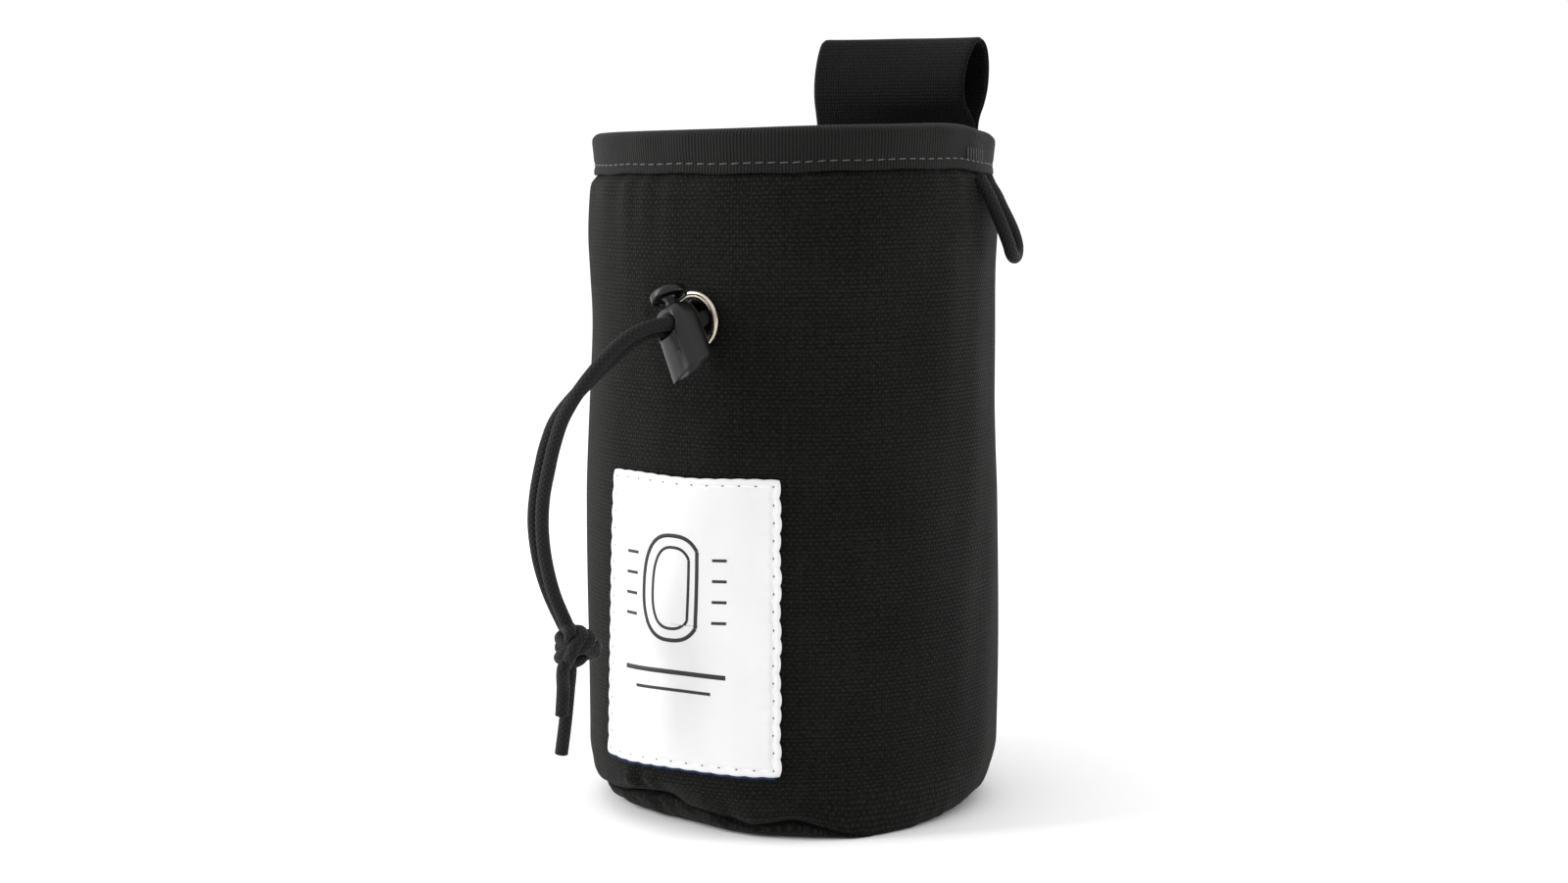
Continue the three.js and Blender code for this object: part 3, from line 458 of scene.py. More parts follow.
class Finish:
    """A material with a Principled shader, the piece's own (u, v) in millimetres and its place in metres."""

    def __init__(self, name, **fixed):
        self.material = bpy.data.materials.new(name)
        self.material.use_nodes = True
        self.tree = self.material.node_tree
        self.shader = self.tree.nodes["Principled BSDF"]
        for key, value in fixed.items():
            self.shader.inputs[key.replace("_", " ")].default_value = value
        self.coords = self.tree.nodes.new("ShaderNodeTexCoord")

    def uv(self):
        """The piece's own u and v, two fields."""
        parts = self.tree.nodes.new("ShaderNodeSeparateXYZ")
        self.tree.links.new(self.coords.outputs["UV"], parts.inputs[0])
        return Field(self.tree, parts.outputs[0]), Field(self.tree, parts.outputs[1])

    def noise(self, scale, detail=2.0, where="Object", stretch=(1, 1, 1)):
        """Cloudy noise, 0 to 1, of so many clouds to a metre (Object) or to a millimetre (UV)."""
        turned = self.tree.nodes.new("ShaderNodeMapping")
        turned.inputs["Scale"].default_value = stretch
        self.tree.links.new(self.coords.outputs[where], turned.inputs[0])
        made = self.tree.nodes.new("ShaderNodeTexNoise")
        made.inputs["Scale"].default_value = scale
        made.inputs["Detail"].default_value = detail
        self.tree.links.new(turned.outputs[0], made.inputs["Vector"])
        return Field(self.tree, made.outputs["Fac"])

    def colour(self, low, high, share):
        """Colour between low and high by a field from 0 to 1. Sockets 6 and 7 are the Mix node's two
        colours, and output 2 is the mixed one."""
        made = self.tree.nodes.new("ShaderNodeMix")
        made.data_type = "RGBA"
        made.inputs[6].default_value = (*low, 1)
        made.inputs[7].default_value = (*high, 1)
        self.tree.links.new(share.socket, made.inputs[0])
        self.tree.links.new(made.outputs[2], self.shader.inputs["Base Color"])
        return self

    def rough(self, share, low, high):
        """Roughness between low and high by a field from 0 to 1."""
        self.tree.links.new(share.mapped(0, 1, low, high).socket, self.shader.inputs["Roughness"])
        return self

    def bump(self, height, tall, strength=1.0):
        """Relief: height 0 to 1 stands tall metres."""
        made = self.tree.nodes.new("ShaderNodeBump")
        made.inputs["Strength"].default_value = strength
        made.inputs["Distance"].default_value = tall
        self.tree.links.new(height.socket, made.inputs["Height"])
        self.tree.links.new(made.outputs[0], self.shader.inputs["Normal"])
        return self


def weave(u, v, wide, tall, warp=1.0, weft=1.0):
    """Height of a plain weave. a = sin(pi u / wide), b = sin(pi v / tall), s = a b. The warp shows where s
    is above 0 and the weft where it is below: the larger of warp sqrt|a| (1+s)/2 and weft sqrt|b| (1-s)/2."""
    a = (u * (np.pi / wide)).sin()
    b = (v * (np.pi / tall)).sin()
    s = a * b
    over = a.size().op("SQRT") * (s * 0.5 + 0.5) * warp
    under = b.size().op("SQRT") * (s * -0.5 + 0.5) * weft
    return over.op("MAXIMUM", under)


def cloth_finish(name, low, high, wide, tall, relief, warp, weft, dark, **fixed):
    """Woven cloth: colour goes from low in the gaps to high on the yarn tops, painted shade in the gaps
    between them, with paler and darker threads and crossings. The yarns wander by a few tenths of a
    millimetre. More dark leaves fewer of them pale."""
    made = Finish(name, **fixed)
    u, v = made.uv()
    u = u + made.noise(0.35, 2.0, "UV") * 0.9
    v = v + made.noise(0.3, 2.0, "UV", (1, 1.1, 1)) * 0.8
    woven = weave(u, v, wide, tall, warp, weft)
    upright = made.noise(1.0, 1.0, "UV", (0.9, 0.05, 1)) * 0.5
    threads = upright + made.noise(1.0, 1.0, "UV", (0.04, 1.1, 1)) * 0.5
    cloud = made.noise(45.0, 3.0)
    spots = made.noise(1.0, 2.0, "UV", (0.75, 1.0, 1))
    # the weave's height in the colour is painted shade in the gaps between yarns; threads, spots and cloud
    # are the yarns' own uneven tone
    shade = (woven * 0.85 + threads * 0.6 + spots * 1.1 + cloud * 0.3 - dark).kept()
    made.colour(low, high, shade).rough(woven * 0.6 + cloud * 0.4, 0.95, 0.72)
    fuzz = made.noise(2600.0, 2.0)
    return made.bump(woven + fuzz * 0.22, relief).material


def ribbed_finish(name, low, high, pitch, row, relief, **fixed):
    """Ribbed tape: rounded ribs across its run, sqrt|sin(pi u / pitch)|, with fine rows along it,
    |sin(pi v / row)|. Their height also sets the colour, painted shade between the ribs."""
    made = Finish(name, **fixed)
    u, v = made.uv()
    ribs = (u * (np.pi / pitch)).sin().size().op("SQRT")
    rows = (v * (np.pi / row)).sin().size()
    cloud = made.noise(60.0, 3.0)
    height = ribs * 0.88 + rows * 0.12
    # colour darker where the ribs and rows are low: painted shade between them; cloud is the tape's own
    # uneven tone
    made.colour(low, high, (height * 2.4 + cloud * 0.35 - 1.6).kept())
    made.rough(height, 0.9, 0.68)
    return made.bump(height + made.noise(3000.0, 1.0) * 0.2, relief).material


def braid_finish(name, low, high, relief, **fixed):
    """Braided sheath: a weave turned by 45 degrees, on u + v and u - v. Its height also sets the colour,
    painted shade in the braid's gaps.
    """
    made = Finish(name, **fixed)
    u, v = made.uv()
    woven = weave(u + v, u - v, 1.0, 1.0)
    fray = made.noise(1800.0, 2.0)
    # colour darker where the braid is low: painted shade in its gaps; fray is the cord's own uneven tone
    made.colour(low, high, (woven * 0.8 + fray * 0.3 - 0.1).kept())
    made.rough(woven, 0.85, 0.6)
    return made.bump(woven + fray * 0.15, relief).material


def plastic_finish():
    """Black satin plastic: worn patches shine a little more, over a fine moulded grain."""
    made = Finish("lock_plastic", Specular_IOR_Level=0.32)
    grain = made.noise(2200.0, 2.0)
    wear = made.noise(260.0, 3.0)
    made.colour((0.0015, 0.0015, 0.0014), (0.004, 0.004, 0.0036), wear)
    made.rough(wear * 0.5 + grain * 0.5, 0.26, 0.42)
    return made.bump(grain, 0.00003, 0.5).material


def nickel_finish():
    """Bright warm nickel: drawn-out scuffs darken it and take some of its shine."""
    made = Finish("grommet_nickel", Metallic=1.0)
    scuff = made.noise(900.0, 3.0, "Object", (1, 1, 4))
    made.colour((0.42, 0.38, 0.31), (0.62, 0.57, 0.48), scuff)
    made.rough(scuff, 0.2, 0.36)
    return made.bump(scuff, 0.00002, 0.4).material


def thread_finish(name, low, high):
    """Twisted thread: fine noise between two colours, with the same noise as relief."""
    made = Finish(name, Sheen_Weight=0.2)
    twist = made.noise(4000.0, 2.0)
    made.colour(low, high, twist).rough(twist, 0.75, 0.5)
    return made.bump(twist, 0.00005).material


def label_finish():
    """Smooth white patch: a very fine satin weave and faint soft creases, whose height also sets the colour,
    painted light and shade on the creases and in the weave's gaps.
    """
    made = Finish("label_cloth", Sheen_Weight=0.15, Specular_IOR_Level=0.4)
    u, v = made.uv()
    woven = weave(u, v, 0.32, 0.32)
    crease = made.noise(0.09, 3.0, "UV", (1, 0.6, 1))
    # colour follows the weave's and the creases' height: painted light and shade
    made.colour((0.6, 0.6, 0.6), (0.72, 0.72, 0.72), woven * 0.3 + crease * 0.7)
    made.rough(crease * 0.5 + woven * 0.5, 0.42, 0.6)
    return made.bump(woven * 0.05 + crease, 0.00035).material


body_look = cloth_finish(
    "body_cloth", (0, 0, 0), (0.0118, 0.0122, 0.0092), wide=0.83, tall=1.04, relief=0.0003, warp=0.62,
    weft=1.0, dark=1.2, Sheen_Weight=0.03, Sheen_Roughness=0.4, Specular_IOR_Level=0.13)
tape_look = ribbed_finish(
    "binding_tape", (0.0001, 0.0001, 0.0001), (0.0098, 0.0102, 0.009), pitch=0.9, row=0.45, relief=0.0003,
    Sheen_Weight=0.03, Sheen_Roughness=0.4, Specular_IOR_Level=0.14)
web_look = cloth_finish(
    "webbing", (0, 0, 0), (0.0085, 0.0094, 0.0092), wide=0.82, tall=0.95, relief=0.0003, warp=1.0, weft=0.85,
    dark=1.45, Sheen_Weight=0.02, Sheen_Roughness=0.35, Specular_IOR_Level=0.14)
cord_look = braid_finish("cord_braid", (0.0002, 0.0002, 0.0002), (0.0055, 0.0058, 0.005), 0.0002,
                         Sheen_Weight=0.03, Sheen_Roughness=0.4, Specular_IOR_Level=0.2)
lock_look = plastic_finish()
metal_look = nickel_finish()
grey_thread = thread_finish("grey_thread", (0.02, 0.02, 0.02), (0.085, 0.085, 0.083))
# near-black thread colour for the marks in the label's needle holes: painted shade in the holes
needle_hole_shade = thread_finish("needle_hole_shade", (0.004, 0.004, 0.004), (0.02, 0.02, 0.02))
white_thread = thread_finish("white_thread", (0.7, 0.7, 0.69), (0.92, 0.92, 0.9))
label_look = label_finish()


# Camera

def set_camera():
    """The photograph's view, and its level directions to the right, (cos t, sin t, 0), and into the picture,
    (-sin t, cos t, 0). The camera is VIEW_AWAY back from the middle, VIEW_LEFT to the left and VIEW_UP up."""
    turn, down = np.radians(VIEW_TURN), np.radians(VIEW_DOWN)
    right, into = outward(VIEW_TURN), outward(VIEW_TURN + 90)
    spot = -into * VIEW_AWAY - right * VIEW_LEFT + np.array([0, 0, VIEW_UP])
    data = bpy.data.cameras.new("photo_view")
    data.lens, data.sensor_width = VIEW_LENS, 36
    view = bpy.data.objects.new("photo_view", data)
    view.location = spot
    view.rotation_euler = (np.pi / 2 - down, 0, turn)
    bpy.context.scene.collection.objects.link(view)
    bpy.context.scene.camera = view
    return right, into


photo_right, photo_into = set_camera()


# Cords

def make_strand(name, route, node):
    """One strand of the drawcord: a tube along the curve through its route."""
    line = rope_line(np.array(route) * MM, STRAND_STEP)
    made = piece(name, [tube(line, CORD / 2)], cord_look, [node])
    return made


def knot_line(points, before, after):
    """Route of one cord through the knot: the last point of its strand, the knot's own and its tail. The
    knot's points are stretched by KNOT_SIZE, turned by KNOT_TURN round +Z and moved to KNOT_MIDDLE."""
    turning = np.array([outward(KNOT_TURN), outward(KNOT_TURN + 90), (0, 0, 1)])
    view = np.array([photo_right, photo_into, (0, 0, 1)])
    placed = np.array(points) * KNOT_SIZE @ turning @ view + np.array(KNOT_MIDDLE)
    return rope_line(np.vstack([before, placed, after]) * MM, LOOP_STEP), placed * MM


def make_knot():
    """Two cords squeezed a little inside the knot: their radius falls from CORD / 2 by KNOT_SQUEEZE over
    about 5 mm, and rises again at the tails."""
    patches = []
    for points, route, tail in ((KNOT_ONE, FRONT_STRAND, SHORT_TAIL), (KNOT_TWO, BACK_STRAND, LONG_TAIL)):
        line, inner = knot_line(points, [np.array(route[-1])], np.array(tail))
        run = run_along(line)
        first = run[np.argmin(np.linalg.norm(line - inner[0], axis=1))]
        last = run[::-1][np.argmin(np.linalg.norm(line[::-1] - inner[-1], axis=1))]
        squeeze = smooth(first - 0.003, first + 0.002, run) * (1 - smooth(last - 0.002, last + 0.004, run))
        patches.append(tube(line, CORD / 2 * (1 - KNOT_SQUEEZE * squeeze)))
    return piece("cord_knot_tied", patches, cord_look, ["cord_knot"])


knot = make_knot()
make_strand("drawcord_strand_front", FRONT_STRAND, "drawcord_front")
make_strand("drawcord_strand_back", BACK_STRAND, "drawcord_back")
side_line = rope_line(np.array(SIDE_ROUTE) * MM, LOOP_STEP)
side_cord = piece("side_loop_cord", [tube(side_line, CORD / 2)], cord_look, ["side_loop"])


# Body

grommet_out = outward(GROMMET_ANGLE)
grommet_right = np.cross([0, 0, 1], grommet_out)
wall_spot = laid(GROMMET_ANGLE, outline(GROMMET_UP), GROMMET_UP)


def seam_height(angle):
    """Height of the base seam at an angle: SEAM_UP times its waves."""
    return SEAM_UP * round_table(SEAM_WAVES, angle)


def pleats(angle, above, strong):
    """Small pleats that run up from a seam: three sine waves round the body, made uneven by slower ones,
    that die away above it by exp(-above / PLEAT_TALL)."""
    a = np.radians(angle)
    waves = (np.sin(23 * a + 1.8 * np.sin(3 * a)) + 0.7 * np.sin(41 * a + 2.4 * np.sin(5 * a + 1))
             + 0.5 * np.sin(67 * a + np.sin(9 * a)))
    return strong * waves * np.exp(-above / PLEAT_TALL)


def slack(angle, z):
    """Long shallow unevenness of soft cloth, about a third of a millimetre: four sine waves that slant
    round the body."""
    a = np.radians(angle)
    up = z / HEIGHT
    return SLACK * (np.sin(3 * a + 5 * up) + np.sin(5 * a - 8 * up + 1) + 0.8 * np.sin(9 * a + 13 * up)
                    + 0.7 * np.sin(14 * a - 9 * up + 2 * np.sin(4 * a)))


def wall_relief(angle, z, real):
    """How far the wall's outside stands out of its plain outline: a rolled lip and pleats over the base
    seam, slack cloth, gathers under the binding, and a press round the grommet with a well in its bore."""
    above = np.clip(real[..., 2] - seam_height(angle), 0, None)
    lip = LIP * bell(above, LIP_UP, LIP_TALL) - CREASE * bell(above, 0, CREASE_TALL)
    under = np.clip(HEIGHT - BINDING_TALL - z, 0, None)
    folds = np.sin(np.radians(angle) * 31 + 2 * np.sin(np.radians(angle) * 7))
    left = LEFT_FOLD * bell(away(angle, LEFT_FOLD_ANGLE), 0, LEFT_FOLD_WIDE)
    strong = GATHER * bell(under, 0, GATHER_TALL) + left * bell(under, LEFT_FOLD_DOWN, LEFT_FOLD_TALL)
    loose = slack(angle, z) * smooth(0, SLACK_FADE, z) * smooth(0, SLACK_FADE, under)
    out = lip * round_table(SEAM_CREASE, angle) + pleats(angle, above, WALL_PLEAT) + folds * strong + loose
    from_eye = real - wall_spot
    reach = np.hypot(from_eye @ grommet_right, from_eye[..., 2])
    near = (from_eye @ grommet_out > -0.02) & (reach < 0.03)
    lean_out = EYE_TILT * (from_eye @ grommet_right) * (1 - smooth(0.0075, 0.018, reach))
    press = -EYE_PRESS * (1 - smooth(0.0072, 0.0115, reach)) - EYE_WELL * (1 - smooth(0.0046, 0.0062, reach))
    return np.where(near, out * smooth(0.007, 0.011, reach) + press + lean_out, out)


def make_wall():
    """The wall as one closed ring: a column for each angle, rows up the outside and down the inside. Outside
    radius = outline(z) + wall_relief, inside radius = outline(z) - WALL, and CASING_IN with small puckers
    at the casing. v goes on down the inside as far as it came up the outside."""
    angle = np.linspace(-180, 180, WALL_COLUMNS)
    rising = np.concatenate([np.linspace(*band) for band in OUTSIDE_ROWS])
    falling = np.concatenate([np.linspace(*band) for band in INSIDE_ROWS])
    a, z = np.meshgrid(angle, rising)
    outside = laid(a, outline(z) + wall_relief(a, z, laid(a, outline(z), z)), z)
    a, z = np.meshgrid(angle, falling)
    swell = smooth(0, 0.0028, CASING_TALL / 2 - np.abs(z - GROMMET_UP))
    inner = outline(z) - WALL - slack(a, z) * 0.8
    puckered = CASING_IN + 0.0003 * np.sin(np.radians(a) * 37 + 3 * np.sin(np.radians(a) * 5))
    inside = laid(a, inner + (puckered - inner) * swell, z)
    grid = np.concatenate([outside, inside, outside[:1]])
    v = np.r_[rising, 2 * HEIGHT - falling, 2 * HEIGHT - SEAM_UP + WALL] / MM
    uv = np.stack(np.broadcast_arrays(np.radians(angle) * RADIUS / MM, v[:, None]), -1)
    return piece("wall_cloth", [(grid, uv)], body_look, ["shell"])


make_wall()


def make_base():
    """The base as a closed lens: the radius goes out along the floor, rolls up to the seam as a quarter of a
    sine and a cosine, and comes back inside. The roll bulges, with pleats in it, and is pulled in just under
    the seam. The sole is hollow by up to SOLE_RISE with three slow waves."""
    foot = np.linspace(0, FLAT_OUT, 22)[1:] * RADIUS
    roll = np.linspace(0, 1, 16)[1:]
    back = np.linspace(INNER_OUT, 0, 14)
    top = SEAM_UP - GAP
    radius = np.concatenate([
        foot, RADIUS * (FLAT_OUT + ROLL_OUT * np.sin(roll * np.pi / 2)), (RADIUS - WALL) * back])
    high = np.concatenate([
        foot * 0, top * (1 - np.cos(roll * np.pi / 2)), np.where(back > FLAT_OUT, top, BASE_PLY)])
    a, r = np.meshgrid(np.linspace(-180, 180, WALL_COLUMNS), radius)
    z = np.broadcast_to(high[:, None], r.shape)
    edge = np.concatenate([foot * 0, np.sin(np.pi * roll**1.4), back * 0])[:, None]
    pulled = np.concatenate([foot * 0, roll[2:] * 0, (0.3, 1), back * 0])[:, None]
    out = edge * (BASE_BULGE + pleats(a, 0.0 * a, BASE_PLEAT)) - pulled * BASE_CREASE
    points = laid(a, r + out, z)
    points[..., 2] = np.where(z <= 0, 0, points[..., 2])
    sole = smooth(0.012, 0.045, RADIUS - r) * (z <= 0)
    points[..., 2] += SOLE_RISE * sole * (1 - 0.5 * np.sin(np.radians(a) * 3 + r * 90))
    points[[0, -1], :, :2] = 0
    points[0, :, 2] = points[0, :, 2].mean()
    points[-1, :, 2] = BASE_PLY
    uv = points[..., :2] / MM
    return piece("base_cloth", [(points, uv)], body_look, ["base_panel"])


make_base()


# Rim

def tape_edge(angle):
    """Uneven lower edge of the binding: two slow waves, and the small scallops |sin| between its stitches."""
    a = np.radians(angle)
    scallops = np.abs(np.sin(a * RADIUS * np.pi / STITCH))
    return 0.00022 * np.sin(5 * a + 1) + 0.00014 * np.sin(17 * a) + 0.00012 * scallops


def tape_point(angle, off, z):
    """Point of the binding: laid(angle, outline(z) + off, z), with its lower edge uneven, a groove at the
    stitches, STITCH_GROOVE exp(-((z - STITCH_UP) / 0.8 mm)^2), and soft waves near its crest."""
    fade = 1 - smooth(0, 0.005, z - (HEIGHT - BINDING_TALL))
    groove = STITCH_GROOVE * bell(z, STITCH_UP, 0.0008) * np.where(off > 0, 1, -1)
    waves = np.sin(np.radians(angle) * 19 + 2 * np.sin(np.radians(angle) * 4))
    soft = 0.00012 * waves * smooth(0.168, 0.174, z)
    return laid(angle, outline(z) + off - groove + soft, z - tape_edge(angle) * fade)


def make_binding():
    """The folded tape: a closed profile (off, z) carried round the rim. The crest is half a squarish oval,
    CREST sin^0.8 high."""
    angle = np.linspace(-180, 180, TAPE_COLUMNS)
    low, seat = HEIGHT - BINDING_TALL, HEIGHT - BINDING_PLY
    up = np.r_[0, 0.0004, np.linspace(0.0010, BINDING_TALL - 0.003, 22)]
    fold = np.linspace(0, np.pi, 15)[1:-1]
    outer, inner = GAP + BINDING_PLY, -WALL - GAP - BINDING_PLY
    half = (outer - inner) / 2
    off = np.concatenate([
        [GAP, outer - 0.0004], np.full(len(up), outer) - 0.00012 * (up < 0.0003),
        (outer + inner) / 2 + half * np.cos(fold), np.full(len(up), inner),
        [inner + 0.0004, -WALL - GAP, -WALL - GAP, GAP, GAP],
    ])
    z = np.concatenate([
        [low, low], low + 0.0001 + up, HEIGHT - CREST + CREST * np.sin(fold) ** 0.8, low + 0.0001 + up[::-1],
        [low, low, seat, seat, low],
    ])
    grid = tape_point(angle, off[:, None], np.broadcast_to(z[:, None], (len(z), len(angle))))
    v = run_along(np.stack([off, z], -1)) / MM
    uv = np.stack(np.broadcast_arrays(np.radians(angle) * RADIUS / MM, v[:, None]), -1)
    return piece("rim_tape", [(grid, uv)], tape_look, ["rim_binding"])


make_binding()


def rim_stitches():
    """One row of stitches round the outside of the binding and one round its inside, each from its spot
    towards the tape 0.4 degrees on."""
    count = int(2 * np.pi * RADIUS / STITCH)
    angle = np.arange(count) * 360 / count
    patches = []
    for off in (GAP + BINDING_PLY + 0.00002, -WALL - GAP - BINDING_PLY - 0.00002):
        z = np.full(count, STITCH_UP)
        spots = tape_point(angle, off, z)
        ahead = tape_point(angle + 0.4, off, z)
        out = outward(angle) * np.sign(off)
        patches.append(stitches(spots, unit(ahead - spots), out, STITCH * STITCH_LONG, STITCH_THICK))
    return piece("rim_stitches", patches, grey_thread)


rim_stitches()


def bartack():
    """Zigzag over the ends of the side cord: upright stitches that lean by TACK_LEAN to one side, and as
    many that lean to the other."""
    angle = np.linspace(TACK_FROM, TACK_TO, TACK_STITCHES)
    z = np.full(len(angle), HEIGHT - TACK_DOWN)
    spots = tape_point(angle, GAP + BINDING_PLY + 0.00018, z)
    side = unit(tape_point(angle + 0.3, GAP + BINDING_PLY, z) - spots)
    ways = [unit(side * lean + np.array([0, 0, 1.0])) for lean in (TACK_LEAN, -TACK_LEAN)]
    patches = [stitches(spots, way, outward(angle), TACK_LONG, TACK_THICK) for way in ways]
    return piece("side_bartack", patches, grey_thread)


bartack()


# Belt loop

web_top = HEIGHT * (1 + round_table(RIM_WAVES, np.array(90.0)))


def loop_line():
    """The strap's middle line in side view: up the back, round the loop and down over itself, as the rope
    curve through the seat on the wall, LOOP_LINE and the seat again one ply further out."""
    foot = HEIGHT - BINDING_TALL - WEB_TAIL
    bulge = laid(90, outline(foot + 0.002), foot + 0.002)[1]
    tape = laid(90, outline(HEIGHT - BINDING_PLY), HEIGHT)[1] + GAP + BINDING_PLY
    first = max(bulge, tape) + GAP + WEB_PLY / 2
    second = first + WEB_PLY + GAP
    rows = [(first, foot), (first, (foot + web_top) / 2), (first, web_top)]
    rows += [((first + second) / 2 + out * WEB_DEEP, web_top + up * WEB_RISE) for out, up in LOOP_LINE]
    rows += [(second, web_top), (second, (foot + web_top) / 2), (second, foot)]
    return rope_line([(0, y, z) for y, z in rows], WEB_STEP)


web_line = loop_line()
web_pinch = web_line[np.argmin(np.abs(web_line[:, 2] - web_top))]
web_run = unit(np.gradient(web_line, axis=0))
web_normal = np.stack([web_run[:, 0], web_run[:, 2], -web_run[:, 1]], -1)


def web_point(station, part, lift):
    """Point of the webbing: station along it, part from -1 to 1 across, lift off its middle line. The
    edges bend back round the body by crown part^2, and the loop opens wider towards its right end."""
    spot, normal = web_line[station], web_normal[station]
    from_pinch = spot[..., 1] - web_pinch[1]
    wider = np.where(from_pinch < 0, 1.0, 0.4) * smooth(-0.8, 1, part)
    wider = wider * smooth(0, 0.007, spot[..., 2] - web_pinch[2])
    bend = WEB_DEEP * curve_through(LOOP_CROWN, spot[..., 2] / HEIGHT) * part**2
    wave = 0.0002 * np.sin(station * 0.021 + part * 2) * np.abs(part)
    return (spot + normal * (lift + wave)[..., None]
            + np.stack([part * WEB_WIDE / 2, from_pinch * wider - bend, 0 * part], -1))


def make_web():
    """The strap: at each station a closed flat section, half as thick as the ply each way, rounded off at its
    ends by sqrt(1 - |p|^40) and a tenth thicker at the two woven edges."""
    across = np.linspace(-1, 1, 61)
    round_end = np.clip((1 - np.abs(across) ** 40), 0.02, 1) ** 0.5
    thick = WEB_PLY / 2 * round_end * (0.93 + 0.1 * bell(np.abs(across), 0.955, 0.03))
    part = np.r_[across, across[::-1], across[:1]]
    lift = np.r_[thick, -thick[::-1], thick[:1]]
    station = np.arange(len(web_line))
    s, p = np.broadcast_arrays(station[:, None], part)
    grid = web_point(s, p, np.broadcast_to(lift, s.shape))
    run = run_along(web_line)[:, None]
    uv = np.stack([p * WEB_WIDE / 2 / MM, np.broadcast_to(run / MM, p.shape)], -1)
    return piece("belt_loop_strap", [poled(grid, uv)], web_look, ["belt_loop"])


make_web()


def on_web(at):
    """Point of the strap's outer ply at (across, height), on its outer face."""
    half = len(web_line) // 2
    station = half + np.searchsorted(-web_line[half:, 2], -at[:, 1])
    spots = web_point(np.clip(station, 0, len(web_line) - 1), at[:, 0] / (WEB_WIDE / 2),
                      np.full(len(at), BOX_STITCH_LIFT))
    spots[:, 2] = at[:, 1]
    return spots


def box_stitch():
    """A box with a cross in it on the outer ply at the back: rows of even stitches from corner to corner."""
    left, right = -BOX_HALF, BOX_HALF
    corners = np.array([(left, BOX_LOW), (right, BOX_LOW), (right, BOX_HIGH), (left, BOX_HIGH)])
    patches = []
    for first, last in ((0, 1), (1, 2), (2, 3), (3, 0), (0, 2), (1, 3)):
        way = corners[last] - corners[first]
        count = max(3, int(np.linalg.norm(way) / BOX_STITCH))
        flat = corners[first] + way * ((np.arange(count) + 0.5) / count)[:, None]
        spots, nexts = on_web(flat), on_web(flat + unit(way) * 0.0008)
        out = np.broadcast_to(np.array([0, 1.0, 0]), spots.shape)
        patches.append(stitches(spots, unit(nexts - spots), out, BOX_STITCH_LONG, BOX_STITCH_THICK))
    return piece("belt_loop_stitches", patches, grey_thread)


box_stitch()


# Grommet

def make_grommet():
    """Lathe about the grommet's axis: profile (rho, h) = the bore's tube, a funnel and a rolled crown, half a
    circle of GROMMET_ROLL. The cord pulls it askew, so its right side stands off by EYE_TILT."""
    bore, edge = GROMMET_BORE / 2, GROMMET_BORE / 2 + GROMMET_RIM
    t = np.linspace(0, np.pi, 23)
    crown = np.stack([edge - GROMMET_ROLL - np.cos(t) * GROMMET_ROLL, -0.0002 + GROMMET_ROLL * np.sin(t)], -1)
    inner = [(bore + 0.0005, -0.0017), (bore + 0.0001, -0.0017), (bore, -0.0015), (bore + 0.0003, -0.0009)]
    under = [(edge - 0.0001, -0.0005), (edge - 0.0006, -0.0006), (bore + 0.0008, -0.001)]
    rows = np.vstack([inner, crown, under, inner[:1]])
    turn = np.linspace(0, 2 * np.pi, 97)
    tilted_out = unit(grommet_out - grommet_right * EYE_TILT)
    tilted_right = unit(grommet_right + grommet_out * EYE_TILT)
    across = tilted_right * np.cos(turn)[:, None] + np.array([0, 0, 1]) * np.sin(turn)[:, None]
    middle = wall_spot - grommet_right * EYE_LEFT
    grid = middle + rows[:, None, :1] * across + rows[:, None, 1:] * tilted_out
    return piece("grommet_ring", [(grid, None)], metal_look, ["grommet"])


make_grommet()


# Cord lock

lock_out = outward(GROMMET_ANGLE - LOCK_TURN)
lean = np.radians(LOCK_LEAN)
lock_up = np.array([0, 0, 1]) * np.cos(lean) + np.cross(lock_out, [0, 0, 1]) * np.sin(lean)
lock_side = np.cross(lock_up, lock_out)
lock_spot = wall_spot + grommet_out * LOCK_OFF - grommet_right * LOCK_LEFT - np.array([0, 0, LOCK_BELOW])


def on_lock(x, y, z):
    """Lock's own x (out through its hole), y and z (up to its button), placed in the frame."""
    return lock_spot + x[..., None] * lock_out + y[..., None] * lock_side + z[..., None] * lock_up


def squarish(turn, power):
    """Unit squarish oval: (sign cos |cos|^(2/p), sign sin |sin|^(2/p))."""
    c, s = np.cos(turn), np.sin(turn)
    return np.sign(c) * np.abs(c) ** (2 / power), np.sign(s) * np.abs(s) ** (2 / power)


